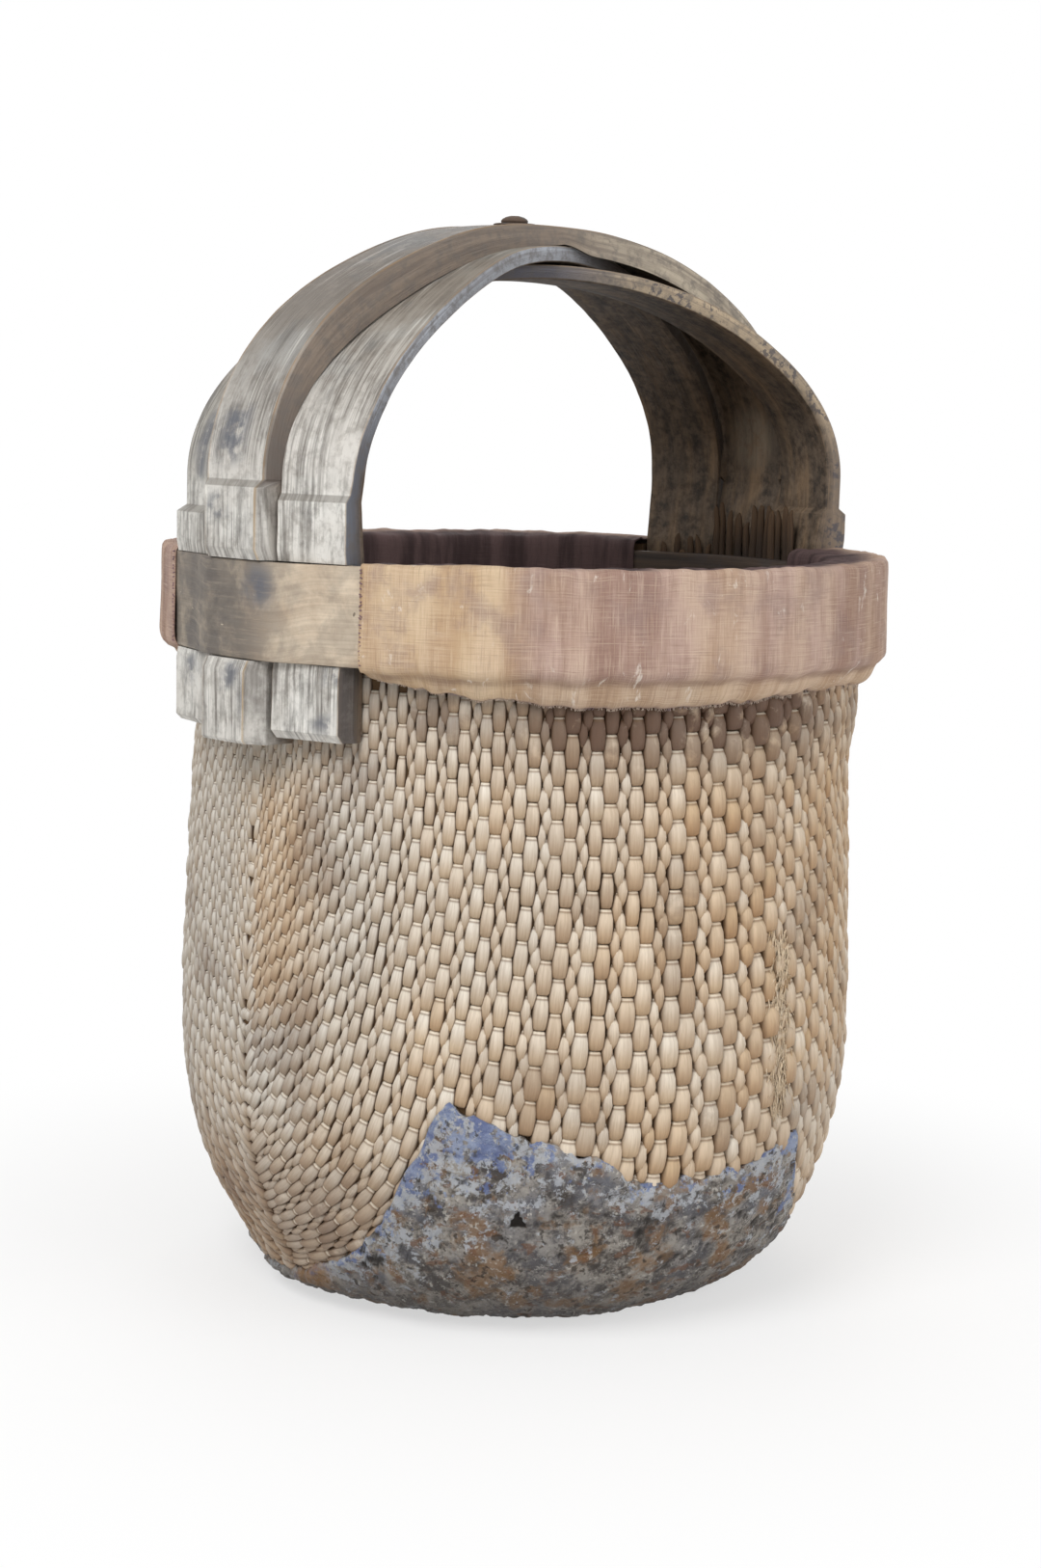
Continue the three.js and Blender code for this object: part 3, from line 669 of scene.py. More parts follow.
# A rod's path from the rim to the seam: at each length down, the share of the quarter turn, by bisection
def rodPath(depth, steps=200):
    taken = seamDepth(outlineLength)
    growing = (taken > 0) & (taken < fullDepth)
    end = np.interp(depth, taken[growing], outlineLength[growing])
    down = weave["top"] + (end - weave["top"]) * (1 - (1 - np.linspace(0, 1, steps)) ** 1.7)
    low, high = np.zeros(steps), np.ones(steps)
    for unused in range(30):
        middle = (low + high) / 2
        below = rodCoordinate(middle, down) < depth
        low, high = np.where(below, middle, low), np.where(below, high, middle)
    return (low + high) / 2, down


# Column places round the body: periods grow from the seams to half way between them
periodGrid = np.linspace(0, fullDepth, 2000)
periodSize = weave["periodSeam"] + weave["periodGrowth"] * (periodGrid / fullDepth) ** weave["periodPower"]
periodSize -= weave["seamFiner"] * np.exp(-(periodGrid / weave["seamReach"]) ** 2)
periodSteps = np.diff(periodGrid) / ((periodSize[1:] + periodSize[:-1]) / 2)
periodCount = np.concatenate([[0], np.cumsum(periodSteps)])
quarterPeriods = round(periodCount[-1])
periodCount *= quarterPeriods / periodCount[-1]

# Stitch shapes: rings from the upper to the lower end, as part of the length, width and height
wideStitch = dict(ring=8, at=(0, 0.035, 0.085, 0.27, 0.52, 0.77, 0.93, 1.0),
                  width=(0.66, 0.74, 0.8, 0.95, 1.0, 0.96, 0.86, 0.7),
                  height=(0.2, 0.46, 0.52, 0.86, 1.0, 0.98, 0.84, 0.36))
slimStitch = dict(ring=6, at=(0, 0.22, 0.5, 0.78, 1.0),
                  width=(0.14, 0.74, 1.0, 0.72, 0.14), height=(0.1, 0.78, 1.0, 0.74, 0.1))
innerStitch = dict(ring=6, at=(0, 0.2, 0.5, 0.8, 1.0),
                   width=(0.62, 0.92, 1.0, 0.92, 0.62), height=(0.3, 0.88, 1.0, 0.88, 0.3))


# Beads of some kinds on one quarter, as arrays for the centres of their rings
def quarterStitches(quarter, kinds, stitch, seed, inside):
    draw = np.random.default_rng(seed)
    left = quarter in (0, 1)
    sign = 1 if quarter in (0, 3) else -1          # which way the quarter turns from its seam
    seamAt = math.radians(weave["seam"] + (180 if left else 0))
    rows = {key: [] for key in ("turn", "down", "width", "rise", "sink", "tone", "share")}
    for column in range(quarterPeriods * 4):
        kind = (column if left else 3 - column) % 4
        if kind not in kinds:
            continue
        spot = 0.25 + 0.5 * kind if inside else weave["places"][kind]
        broad = 0.5 if inside else weave["widths"][kind]
        depth = np.interp(column // 4 + (spot if left else 1 - spot), periodCount, periodGrid)
        period = np.interp(depth, periodGrid, periodSize)
        share, down = rodPath(depth)
        length = runAlong(bodyPoint(share * math.pi / 2, down, 0))
        row = np.arange(60) + weave["phases"][kind] + (0.5 if inside else 0)
        growth = weave["pitchGrowth"] * depth / fullDepth / 30
        short = 1 - weave["seamShort"] * math.exp(-(depth / weave["shortReach"]) ** 2)
        edges = weave["pitch"] * short * (row + growth * row * row)
        start, end = edges[:-1], edges[1:]
        keep = start < length[-1] - 0.35 * weave["pitch"]
        start, end = start[keep], end[keep].copy()
        end[-1] = length[-1]
        count = len(start)
        middle, half = (start + end) / 2, (end - start) / 2 * weave["lengths"][kind]
        half = half * (1 + 0.03 * draw.uniform(-1, 1, count))
        at = middle[:, None] + half[:, None] * (2 * np.array(stitch["at"]) - 1)
        centreShare = np.interp(at, length, share)
        rodTone = draw.uniform(0, 1)
        rows["turn"].append(seamAt + sign * centreShare * math.pi / 2)
        rows["down"].append(np.interp(at, length, down))
        rows["share"].append(centreShare)
        rows["width"].append(period * broad * (1 + 0.07 * draw.normal(0, 1, count)))
        rows["rise"].append(weave["rise"][kind] * (1 + 0.08 * draw.normal(0, 1, count)))
        rows["sink"].append(np.full(count, weave["sink"][kind]))
        rows["tone"].append(np.clip(0.5 * rodTone + 0.5 * draw.uniform(0, 1, count) + 0.1, 0, 1))
    return {key: np.concatenate(value) for key, value in rows.items()}


# How aged, stained and darkened stitches are, by turn past the left seam, by facing and by height; the stain
# below the hem is partly painted shade under the rim cloth
def stitchWear(turn, height, place):
    past = turnPast(turn, 180 + weave["seam"])
    aged = 0.72 * easeStep(75, -10, past) * easeStep(-110, -60, past)
    aged = aged + 0.3 * np.exp(-((past - 6) / 7) ** 2 - ((height - 140) / 28) ** 2)
    aged = aged + 0.4 * noiseSum(place, (1, 55, 61), (0.5, 20, 63))
    aged = aged + 0.45 * np.exp(-((past - 25) / 8) ** 2 - ((height - 215) / 35) ** 2)
    orange = easeStep(0, 3, past) * easeStep(21, 9, past)
    orange = orange * easeStep(150, 180, height) * easeStep(310, 270, height)
    aged = aged * (0.45 + 0.55 * easeStep(30, 110, height)) * (1 - 0.75 * orange) + 0.1
    low = easeStep(130, 60, height) * easeStep(48, 20, np.abs(past))
    right = easeStep(35, 80, past) * easeStep(205, 170, past) * (0.6 + 0.4 * easeStep(150, 290, height))
    facing = turnPast(turn, -134.4)
    side = easeStep(-8, 14, facing) * easeStep(75, 40, facing)
    # below the hem: painted shade under the rim cloth mixed with real stain, stronger on one side of the
    # facing
    stain = easeStep(292, 336, height) * (0.2 + 0.7 * side)
    stain = stain + 0.3 * easeStep(0.15, 0.8, latticeNoise(place, 30, 62)) + 0.3 * low
    return np.clip(aged, 0, 1), np.clip(stain, 0, 1), 0.42 * orange + 0.56 * low + 0.34 * right


# Closed bead meshes: an oval ring carried along each rod's path, flat-backed, laid on the body's surface
def stitchMesh(quarter, kinds, stitch, seed, inside=False):
    beads = quarterStitches(quarter, kinds, stitch, seed, inside)
    middle = len(stitch["at"]) // 2
    turn, down = beads["turn"][:, middle], beads["down"][:, middle]
    hidden = (down > patchEdge(turn, patchShape) + 9) | (turnFromFeet(turn) < 17) & (down < 76)
    if inside:
        hidden = down < 66
    beads = {key: value[~hidden] for key, value in beads.items()}
    turn, down, share = beads["turn"], beads["down"], beads["share"]
    radius = radiusAt(down)
    arc = np.gradient(turn, axis=1) * radius
    drop = np.gradient(down, axis=1)
    size = np.hypot(arc, drop) + 1e-9
    acrossArc, acrossDown = drop / size, -arc / size
    slopeDown = rodCoordinate(share, down + 0.5) - rodCoordinate(share, down - 0.5)
    wider, closer = np.clip(share + 0.01, 0, 1), np.clip(share - 0.01, 0, 1)
    slopeArc = (rodCoordinate(wider, down) - rodCoordinate(closer, down)) / (0.01 * math.pi)
    packed = np.clip(np.hypot(slopeDown, slopeArc / np.maximum(radius, 20)), 0.62, 1.4)
    width = beads["width"][:, None] / packed * np.array(stitch["width"])
    around = fullTurn(stitch["ring"])
    sideways = np.sign(np.cos(around)) * np.abs(np.cos(around)) ** 0.8
    upward = np.where(np.sin(around) > 0, np.abs(np.sin(around)) ** 0.85, -0.3 * np.abs(np.sin(around)))
    offset = width[..., None] / 2 * sideways
    tall = (beads["width"] * beads["rise"])[:, None, None] * np.array(stitch["height"])[:, None] * upward
    lift = weave["base"] - beads["sink"][:, None, None] + tall
    pointTurn = turn[..., None] + offset * acrossArc[..., None] / np.maximum(radius, 8)[..., None]
    pointDown = np.clip(down[..., None] + offset * acrossDown[..., None], 0, bodyLength)
    if inside:
        lift = -6.7 - 0.8 * lift
    else:
        bulge = easeStep(0.5, 0.95, np.cos(pointTurn + math.radians(44)))
        lift = lift + 5.5 * easeStep(282, 328, heightAt(pointDown)) * bulge
    points = bodyPoint(pointTurn, pointDown, lift)
    shape = points.shape[:3]
    along = np.broadcast_to(np.array(stitch["at"])[None, :, None], shape)
    across = np.broadcast_to((sideways * np.where(upward < -0.01, 1.1, 1) / 2 + 0.5)[None, None, :], shape)
    centre = points[:, middle].mean(axis=1)
    aged, stain, darker = stitchWear(turn[:, middle], centre[:, 2], centre)
    values = {"tone": np.clip(beads["tone"] - darker, 0, 1), "aged": aged, "stain": stain}
    values = {key: np.broadcast_to(value[:, None, None], shape).ravel() for key, value in values.items()}
    return points.reshape(-1, 3), tubeFaces(*shape), stacked(across, along).reshape(-1, 2), values


# Joins bead meshes into one piece
def joinStitches(name, parts):
    points, groups, uvs, values = zip(*parts)
    starts = np.cumsum([0] + [len(part) for part in points])
    faces = [group + start for part, start in zip(groups, starts) for group in part]
    joined = {key: np.concatenate([part[key] for part in values]) for key in values[0]}
    return makePiece(name, np.concatenate(points), faces, willow, ["woven_body"],
                     np.concatenate(uvs), joined)


for quarter, side in enumerate(("front_left", "back_left", "front_right", "back_right")):
    piece = joinStitches("weave_" + side, [stitchMesh(quarter, (0, 1), wideStitch, 20 + quarter),
                                           stitchMesh(quarter, (2, 3), slimStitch, 40 + quarter)])
    print(piece.name, len(piece.data.polygons), "faces")
    lining = stitchMesh(quarter, (0, 1), innerStitch, 60 + quarter, inside=True)
    joinStitches("weave_inside_" + side, [lining])


webShape = dict(outside=-2.6, inside=-5.2, top=14, columns=160, rows=90)


# The web between the stitches: the body's outline lifted by two amounts, joined at the top, coloured dark as
# painted shade in the gaps
def makeWeb():
    down = np.linspace(bodyLength, webShape["top"], webShape["rows"])
    turn = fullTurn(webShape["columns"])
    outer = bodyPoint(turn[None, :], down[:, None], webShape["outside"])
    inner = bodyPoint(turn[None, :], down[::-1, None], webShape["inside"])
    points, faces = poleShell(np.concatenate([outer, inner]))
    return makePiece("weave_web", points, faces, gapShade, ["woven_body"])


makeWeb()

floorStitch = dict(reach=74, row=9.4, pitch=16.5, rise=2.6, level=7.4, rows=9, steps=6, wide=0.54, long=0.97)


# The lining over the flat bottom: straight rows of beads side by side in brick order, kept inside a circle
def makeFloorLining():
    shape, draw = floorStitch, np.random.default_rng(81)
    row, step = np.meshgrid(np.arange(-shape["rows"], shape["rows"] + 1),
                            np.arange(-shape["steps"], shape["steps"] + 1), indexing="ij")
    x, y = shape["row"] * row.ravel(), shape["pitch"] * (step + 0.5 * (row % 2)).ravel()
    keep = np.hypot(x, y) < shape["reach"]
    x, y = x[keep, None, None], y[keep, None, None]
    at = np.array(innerStitch["at"])[None, :, None]
    around = fullTurn(innerStitch["ring"])
    wide = shape["row"] * shape["wide"] * np.array(innerStitch["width"])[:, None]
    wide = wide * (1 + 0.06 * draw.normal(0, 1, x.shape))
    tall = shape["rise"] * np.array(innerStitch["height"])[:, None] * np.maximum(np.sin(around), -0.3)
    points = stacked(x + wide * np.cos(around), y + shape["pitch"] * shape["long"] * (at - 0.5),
                     shape["level"] + tall)
    uv = stacked(0.5 + 0.5 * np.cos(around), at + 0 * points[..., 0])
    tone = np.broadcast_to(draw.uniform(0, 1, x.shape), points.shape[:3])
    values = {"tone": tone, "aged": 0 * tone + 0.2, "stain": 0 * tone + 0.2}
    makePiece("weave_inside_floor", points, tubeFaces(*points.shape[:3]), willow, ["woven_body"],
              uv, values)


makeFloorLining()
print("weave made")


# The patch: the body's surface from the ragged edge to the middle of the base, crumpled, with a back
def makePatch():
    shape = patchShape
    turn = np.linspace(-math.pi, math.pi, shape["columns"], endpoint=False)
    edge = patchEdge(turn, shape)
    part = np.linspace(0, 1, shape["rows"]) ** 1.35
    down = edge[None, :] + (bodyLength - edge[None, :]) * part[:, None]
    flat = bodyPoint(turn[None, :], down, shape["thick"])
    relief = noiseSum(flat, (0.42, 26, 11), (0.4, 9, 12), (0.36, 4.5, 13), (0.34, 2.6, 14))
    holeDown = np.interp(-shape["hole"][1], -outlineHeight, outlineLength)
    aside = (turn[None, :] - math.radians(shape["hole"][0])) * radiusAt(holeDown)
    below = down - holeDown
    wedge = np.maximum(np.abs(aside) * 1.7 - (below + shape["holeSize"]) * 0.8, below - shape["holeSize"])
    pit = easeStep(1.2, -0.6, wedge)
    lift = shape["thick"] + 2.3 * relief - 3.6 * pit
    lift = np.maximum(lift, 0.35) * easeStep(-0.012, 0.012, part)[:, None]
    outer = bodyPoint(turn[None, :], down, lift)
    outer[..., 2] = np.maximum(outer[..., 2], 0)
    lip = bodyPoint(turn[None, :], edge[None, :], -1.6)
    backPart = np.linspace(0.02, 1, shape["backRows"])[:, None]
    backDown = edge[None, :] + (bodyLength - edge[None, :]) * backPart
    rows = np.concatenate([outer[::-1], lip, bodyPoint(turn[None, :], backDown, -1.2)])
    reach, amount = [readTable(shape["paint"], np.degrees(turn), column)[None, :] for column in (1, 2)]
    inward = down - edge[None, :]
    grids = {"relief": np.clip(0.5 + 0.5 * relief - 0.9 * pit, 0, 1),
             "paint": np.clip(1 - inward / (2 * reach), 0, 1) * amount,
             "border": easeStep(13, 1, inward)}
    back = np.zeros((shape["backRows"] + 1, shape["columns"]))
    values = {}
    for key, grid in grids.items():
        grid = np.concatenate([grid[::-1], back + (0.3 if key == "relief" else 0)])
        values[key] = np.concatenate([grid[0, :1], grid[1:-1].ravel(), grid[-1, :1]])
    points, faces = poleShell(rows)
    piece = makePiece("bottom_patch_crust", points, faces, crust, ["bottom_patch"], values=values)
    tall = np.linalg.norm(np.diff(flat, axis=0), axis=-1)
    wide = np.linalg.norm(flat - np.roll(flat, 1, axis=1), axis=-1)[:-1]
    return piece, float(np.sum(tall * wide)) * mm * mm


patchPiece, patchArea = makePatch()
print("patch made, area", round(patchArea, 4))


hoops = {
    "outer": dict(inner=194.0, outer=hoopOuter, low=hoopBottom, high=rimTop, lapAt=90, lap=24, tip=1.2,
                  round=0.8, bow=5.0),
    "inner": dict(inner=166.7, outer=172.7, low=innerLow[2], high=innerHigh[2], lapAt=270, lap=24, tip=1.2,
                  round=1.2, bow=0.0),
}


# A bent strip: a round-cornered section carried once round and past its own start, its ends thinned to lap
def makeHoop(name, hoop, material, stands):
    span = math.degrees(hoop["lap"] / hoop["outer"]) * 2
    run = np.linspace(0, 360 + span, 420)
    turn = np.radians(run + hoop["lapAt"] - span / 2)
    rising = np.clip(run / span, 0, 1)
    falling = np.clip((run - 360) / span, 0, 1)
    thick = hoop["outer"] - hoop["inner"]
    bowed = hoop["bow"] * easeStep(15, 6.5, turnFromFeet(turn))   # where it passes over the proud middle foot
    outer = hoop["inner"] + hoop["tip"] + (thick - hoop["tip"]) * rising + bowed
    inner = hoop["inner"] + (thick - hoop["tip"]) * falling + np.where(falling > 0, 0.3, 0) + bowed
    corner = np.radians(np.linspace(0, 90, 4))
    rounded = np.minimum(hoop["round"], (outer - inner) * 0.45)[:, None]
    ring = []
    for radial, vertical, start in ((1, 1, 0), (-1, 1, 90), (-1, -1, 180), (1, -1, 270)):
        angle = corner + math.radians(start)
        edge = outer if radial > 0 else inner
        level = hoop["high"] if vertical > 0 else hoop["low"]
        ring.append(stacked(edge[:, None] + rounded * (np.cos(angle) - radial),
                            level + rounded * (np.sin(angle) - vertical)))
    level = np.linspace(hoop["low"] + 6, hoop["high"] - 6, 8)
    ring = np.concatenate(ring + [stacked(outer[:, None], level[None, :])], axis=1)
    radius, height = ring[..., 0], ring[..., 1]
    points = turned(radius, turn[:, None], height)
    wobble = noiseSum(points, (0.35, 26, 21), (0.12, 7, 22))
    points[..., 2] += 0.6 * latticeNoise(points * np.array([1, 1, 0]), 40, 23) * (height - hoop["low"] > 10)
    points[..., :2] *= (1 + wobble / hoop["outer"])[..., None]
    uv = stacked(height * mm + radius * mm, (turn * hoop["outer"] * mm)[:, None])
    return makePiece(name, points, tubeFaces(1, *points.shape[:2]), material, stands, uv, sharp=40)


makeHoop("outer_hoop_strip", hoops["outer"], plateWood, ["outer_hoop"])
makeHoop("inner_hoop_strip", hoops["inner"], darkWood, ["inner_hoop"])
print("hoops made")


# One side of a section and its mirror image
def mirrored(half):
    return half + [(-across, *rest) for across, *rest in half[::-1] if across]


feet = dict(step=2.5, slope=3.0, inner=181.3, seat=192.0, spring=445.0, shift=2.4)
# A section's points: place across, share of the depth, offset, share of the lip, offset in the foot
centreSection = mirrored([
    (-1, 1, 0, 1, 0), (-0.985, 0.6, 0, 0.6, -7.5), (-0.94, 0, 1.4, 0, 0), (-0.905, 0, 0.2, 0, 0),
    (-0.885, 0, 0, 0, 0), (-0.85, 0, 0.5, 0, 0), (-0.8, 0, 0.35, 0, 0), (-0.4, 0, 0.1, 0, 0),
    (0, 0, 0, 0, 0)])
centreSection += mirrored([(0.93, 1, 0, 1, 0), (0.9, 1, 0, 0, 0), (0.45, 1, 0, 0, 0), (0, 1, 0, 0, 0)])
crossSection = mirrored([
    (-1, 0.5, 0, 0, 0), (-1, 0, 1.0, 0, 0), (-0.985, 0, 0.3, 0, 0), (-0.965, 0, 0, 0, 0),
    (-0.6, 0, 0.12, 0, 0), (-0.2, 0, 0.3, 0, 0)])
crossSection += mirrored([
    (1, 1, -0.8, 0, 0), (0.985, 1, -0.2, 0, 0), (0.96, 1, 0, 0, 0), (0.5, 1, 0, 0, 0), (0, 1, 0, 0, 0)])
# spread: how far foot and leg stand out; edges: the left foot's half widths by height; marks: place and size
slats = {
    "centre": dict(
        node="handle_centre_slat", turn=0.0, width=50.0, thick=9.5, leg=195.9, draw=-0.01, shoulder=441.0,
        bottom=311.0, section=centreSection, seed=31, crownSink=0.0, chamfer=1.6, ease=2.6,
        spread=((0.0, 0.0), (0.0, 0.0)), hump=2.2,
        edges=[(311, 11.5, 19.5, 25.0, 25.0), (354, 12, 20.0, 25.0, 25.0), (404, 20.5, 23.0, 23.6, 25.0),
               (440, 20.8, 24.2, 23.6, 25.0), (445, 25.4, 25.0, 24.6, 25.0), (480, 25.4, 25.0, 25.0, 25.0),
               (520, 25.0, 25.0, 25.0, 25.0)],
        marks=[(0.2, 467, 0.42, 17), (0.55, 430, 0.3, 9), (-0.1, 346, 0.4, 7), (-0.62, 334, 0.2, 18)]),
    "upper": dict(
        node="handle_upper_cross_slat", turn=14.19, width=46.5, thick=9.0, leg=186.6, draw=0.05,
        shoulder=435.0, bottom=315.0, section=crossSection, seed=32, crownSink=0.4, chamfer=4.5, ease=1.0,
        spread=((0.0, 0.0), (0.0, 0.0)), hump=1.5,
        edges=[(315, 13.8, 17.5, 27.6, 23.5), (354, 14.4, 17.5, 27.2, 23.5), (404, 17.0, 17.5, 25.2, 23.5),
               (435, 17.3, 17.8, 25.0, 23.5), (445, 19.5, 19.5, 24.2, 23.5),
               (485, 23.25, 23.25, 23.25, 23.25)],
        marks=[(-0.4, 324, 0.3, 6), (-0.8, 352, 0.3, 10)]),
    "lower": dict(
        node="handle_lower_cross_slat", turn=-14.19, width=46.5, thick=9.0, leg=186.6, draw=0.011,
        shoulder=425.5, bottom=315.0, section=crossSection, seed=33, crownSink=1.3, chamfer=3.0, ease=1.0,
        spread=((1.5, -1.5), (6.0, 3.5)), hump=0.0, edges=[(315, 23.25, 23.25, 23.25, 23.25)],
        marks=[(0.1, 345, 0.3, 8), (0.3, 460, 0.3, 20)]),
}


# The bent part of a slat from one spring to the other, as distance along and height
def archLine(leg, crown, draw, part):
    angle = part * math.pi
    pull = 1 - draw * np.sin(2 * angle) ** 2
    along = -leg * np.cos(angle) * pull + feet["shift"] * np.sin(angle) ** 2
    return along, feet["spring"] + (crown - feet["spring"]) * np.sin(angle) * pull


# Puts points between the corners of a line, no further apart than the gap
def fillLine(corners, gap):
    corners = np.array(corners, float)
    sizes = np.linalg.norm(np.diff(corners, axis=0), axis=1)
    counts = np.maximum(1, np.ceil(sizes / gap)).astype(int)
    runs = [a + (b - a) * np.linspace(0, 1, n, endpoint=False)[:, None]
            for a, b, n in zip(corners[:-1], corners[1:], counts)]
    return np.concatenate(runs + [corners[-1:]])


# Gap from points under the centre slat's edge to a cross slat's outer face, in that slat's own plane
def edgeGap(along, across, height, slat):
    turn = math.radians(slat["turn"])
    own = along * math.cos(turn) + across * math.sin(turn)
    crown = nodeBox(slat["node"])[1][2]
    line = archLine(slat["leg"] + slat["thick"], crown, slat["draw"], np.linspace(0, 1, 500))
    return np.hypot(own[:, None] - line[0], height[:, None] - line[1]).min(axis=1)


# How far the centre slat's two edges reach below its inner face, down to the slats beneath
def edgeLips(inner, half, thicker):
    lips = []
    along, height = inner[:, 0], inner[:, 1]
    for side in (-1, 1):
        across = np.full(len(inner), side * half)
        near = np.clip(edgeGap(along, across, height, slats["upper"]) - 0.5, 0, 10)
        far = np.clip(edgeGap(along, across, height, slats["lower"]) - 0.4, 0, 4.6)
        lips.append(np.where(along * side > 0, near, far * easeStep(0, 26, np.abs(along))))
    least = np.clip(3.5 - thicker, 0, 4) * easeStep(510, 484, height)
    return np.maximum(np.stack(lips, axis=-1), least[:, None]) * (height > feet["spring"] - 2)[:, None]


# A slat: outer and inner lines from foot to foot, and its section laid between them at each station
def makeSlat(key, slat):
    central = key == "centre"
    leg, thick, bottom, shoulder = slat["leg"], slat["thick"], slat["bottom"], slat["shoulder"]
    crown, foot, seat = nodeBox(slat["node"])[1][2] - thick, feet["inner"], feet["seat"]
    outside, face, top = leg + thick, leg + thick + feet["step"], shoulder + feet["slope"]
    chamfer, ease = slat["chamfer"], slat["ease"]
    back = foot + 0.7 * (leg - foot)   # the inner side is eased from the foot into the leg
    # one foot from its bottom up: outer distance, inner distance, height
    stand = fillLine([
        (face - chamfer, foot + 0.8, bottom), (face, foot, bottom + chamfer), (face, foot, hoopBottom - 6),
        (face - ease, foot, hoopBottom - 0.5), (seat, foot, hoopBottom - 0.4), (seat, foot, rimTop + 0.4),
        (face - ease, foot, rimTop + 0.5), (face, 0.85 * foot + 0.15 * leg, rimTop + 6),
        (face, back, shoulder - 0.5), (face - 0.4, back, shoulder), (outside + 0.2, back, top),
        (outside, back, top + 0.6), (outside, back, feet["spring"])], 6.0)
    part = np.linspace(0, 1, 142)[1:-1]
    outerLine = np.stack(archLine(outside, crown + thick, slat["draw"], part), axis=-1)
    innerLine = np.stack(archLine(leg, crown, slat["draw"], part), axis=-1)
    outerLine[:, 1] -= slat["crownSink"] * np.exp(-(outerLine[:, 0] / 75) ** 2)
    thicker = (leg - back) * easeStep(490, feet["spring"], innerLine[:, 1])
    innerLine[:, 0] -= np.sign(innerLine[:, 0]) * thicker
    for line in (outerLine, innerLine):
        line[:, 1] += slat["hump"] * np.exp(-((line[:, 0] + 55) / 40) ** 2)
    outer = np.concatenate([stand[:, [0, 2]] * [-1, 1], outerLine, stand[::-1, [0, 2]]])
    inner = np.concatenate([stand[:, [1, 2]] * [-1, 1], innerLine, stand[::-1, [1, 2]]])
    for line, proud in ((outer, np.abs(outer[:, 0]) > -1), (inner, inner[:, 1] > shoulder)):
        proud = proud & ((np.abs(line[:, 0]) > seat + 0.5) | (line[:, 1] > shoulder))
        inLeg = (line[:, 1] > shoulder + 0.3).astype(int)
        left, right = [np.array(ends)[inLeg] for ends in slat["spread"]]
        line[:, 0] += np.where(line[:, 0] < 0, -left, right) * proud * easeStep(550, 470, line[:, 1])
    height = outer[:, 1]
    inFoot = easeStep(shoulder + 1.5, shoulder - 0.2, height)[:, None]
    inward = inner - outer
    depth = np.linalg.norm(inward, axis=1)
    inward /= depth[:, None]
    across, share, offset, lip, sunk = np.array(slat["section"], float).T
    half = slat["width"] / 2
    lips = np.zeros((len(outer), 2))
    if central:
        lips = edgeLips(inner, half, np.concatenate([np.zeros(len(stand)), thicker, np.zeros(len(stand))]))
    reach = np.where(across[None, :] < 0, lips[:, :1], lips[:, 1:])
    deep = share * depth[:, None] + offset + lip * reach + sunk * inFoot
    flat = outer[:, None] + inward[:, None] * deep[..., None]
    # the middle foot is a wedge between its neighbours' edges, so its back narrows inwards
    wedge = np.minimum(half, 0.2528 * np.abs(inner[:, :1]) - 24.2)
    narrow = np.where((inner[:, 1:] < feet["spring"] + 0.1) & central, wedge, half)
    wide = across[None, :] * np.where(share == 1, narrow, half)
    nearFace, nearBack, farFace, farBack = [
        readTable(slat["edges"], height, column)[:, None] for column in (1, 2, 3, 4)]
    nearMiddle, farMiddle = np.maximum(nearFace, nearBack), (farFace + farBack) / 2
    nearWide = np.where(share == 0, nearFace, np.where(share == 1, nearBack, nearMiddle))
    farWide = np.where(share == 0, farFace, np.where(share == 1, farBack, farMiddle))
    ownWide = np.where(across < 0, nearWide, farWide)
    ownWide = np.where(share == 1, np.minimum(ownWide, narrow), ownWide)
    wide = np.where(outer[:, :1] < 0, across * ownWide, wide)
    points = np.stack([flat[..., 0], wide, flat[..., 1]], axis=-1)
    worn = noiseSum(points, (0.3, 34, slat["seed"]), (0.2, 8, slat["seed"] + 40))
    points[..., 1] += worn * np.sign(wide) * (np.abs(across) > 0.8)[None, :]
    drift = 0.35 * latticeNoise(points * np.array([1, 0.4, 1]), 30, slat["seed"] + 80)
    points[..., [0, 2]] += inward[:, None, :] * drift[..., None]
    smudges = np.zeros(points.shape[:2])
    for place, level, wideness, tallness in slat["marks"]:
        away = ((across[None, :] - place) / wideness) ** 2 + ((flat[..., 1] - level) / tallness) ** 2
        smudges = np.maximum(smudges, easeStep(1.4, 0.4, away) * (share == 0)[None, :])
    turn = math.radians(slat["turn"])
    spun = np.array([[math.cos(turn), math.sin(turn), 0], [-math.sin(turn), math.cos(turn), 0], [0, 0, 1]])
    points = points @ spun
    girthSteps = np.hypot(np.diff(across * half), np.diff(share * thick + offset))
    girth = np.concatenate([[0], np.cumsum(girthSteps)])
    uv = stacked(girth[None, :] * mm + slat["seed"], runAlong((outer + inner) / 2)[:, None] * mm)
    size = np.abs(across)
    edgeFrom = 0.93 if central else 0.99
    ridge = (size > 0.87) & (size < 0.91) if central else np.abs(size - 0.985) < 0.01
    paleFoot = 1 - (0.75 if central else 0.0) * inFoot   # the middle foot's sides are as pale as its face
    # the inner corners of the side walls take the dark inside colour as painted shade in the gaps between the
    # slats
    paintedShadeCorner = np.where(outer[:, 0] > 0, easeStep(540, 470, height), easeStep(460, 445, height))[:, None]
    onSlope = np.abs(height - shoulder - feet["slope"] / 2) < feet["slope"] / 2 + 0.1
    values = {
        "edge": (size > edgeFrom)[None, :] * paleFoot,
        "ridge": ridge[None, :] * paleFoot,
        "inside": (share == 1)[None, :] * np.where(size[None, :] < edgeFrom, 1, paintedShadeCorner),
        "groove": (ridge & (across < 0))[None, :] * inFoot * central,
        "cut": (share == 0)[None, :] * onSlope[:, None],
        "mark": smudges}
    return makePiece("handle_" + key + "_bent_slat", points, tubeFaces(1, *points.shape[:2]),
                     handleWoods[key], [slat["node"]], uv, values, sharp=22)


for key, slat in slats.items():
    makeSlat(key, slat)
print("slats made")


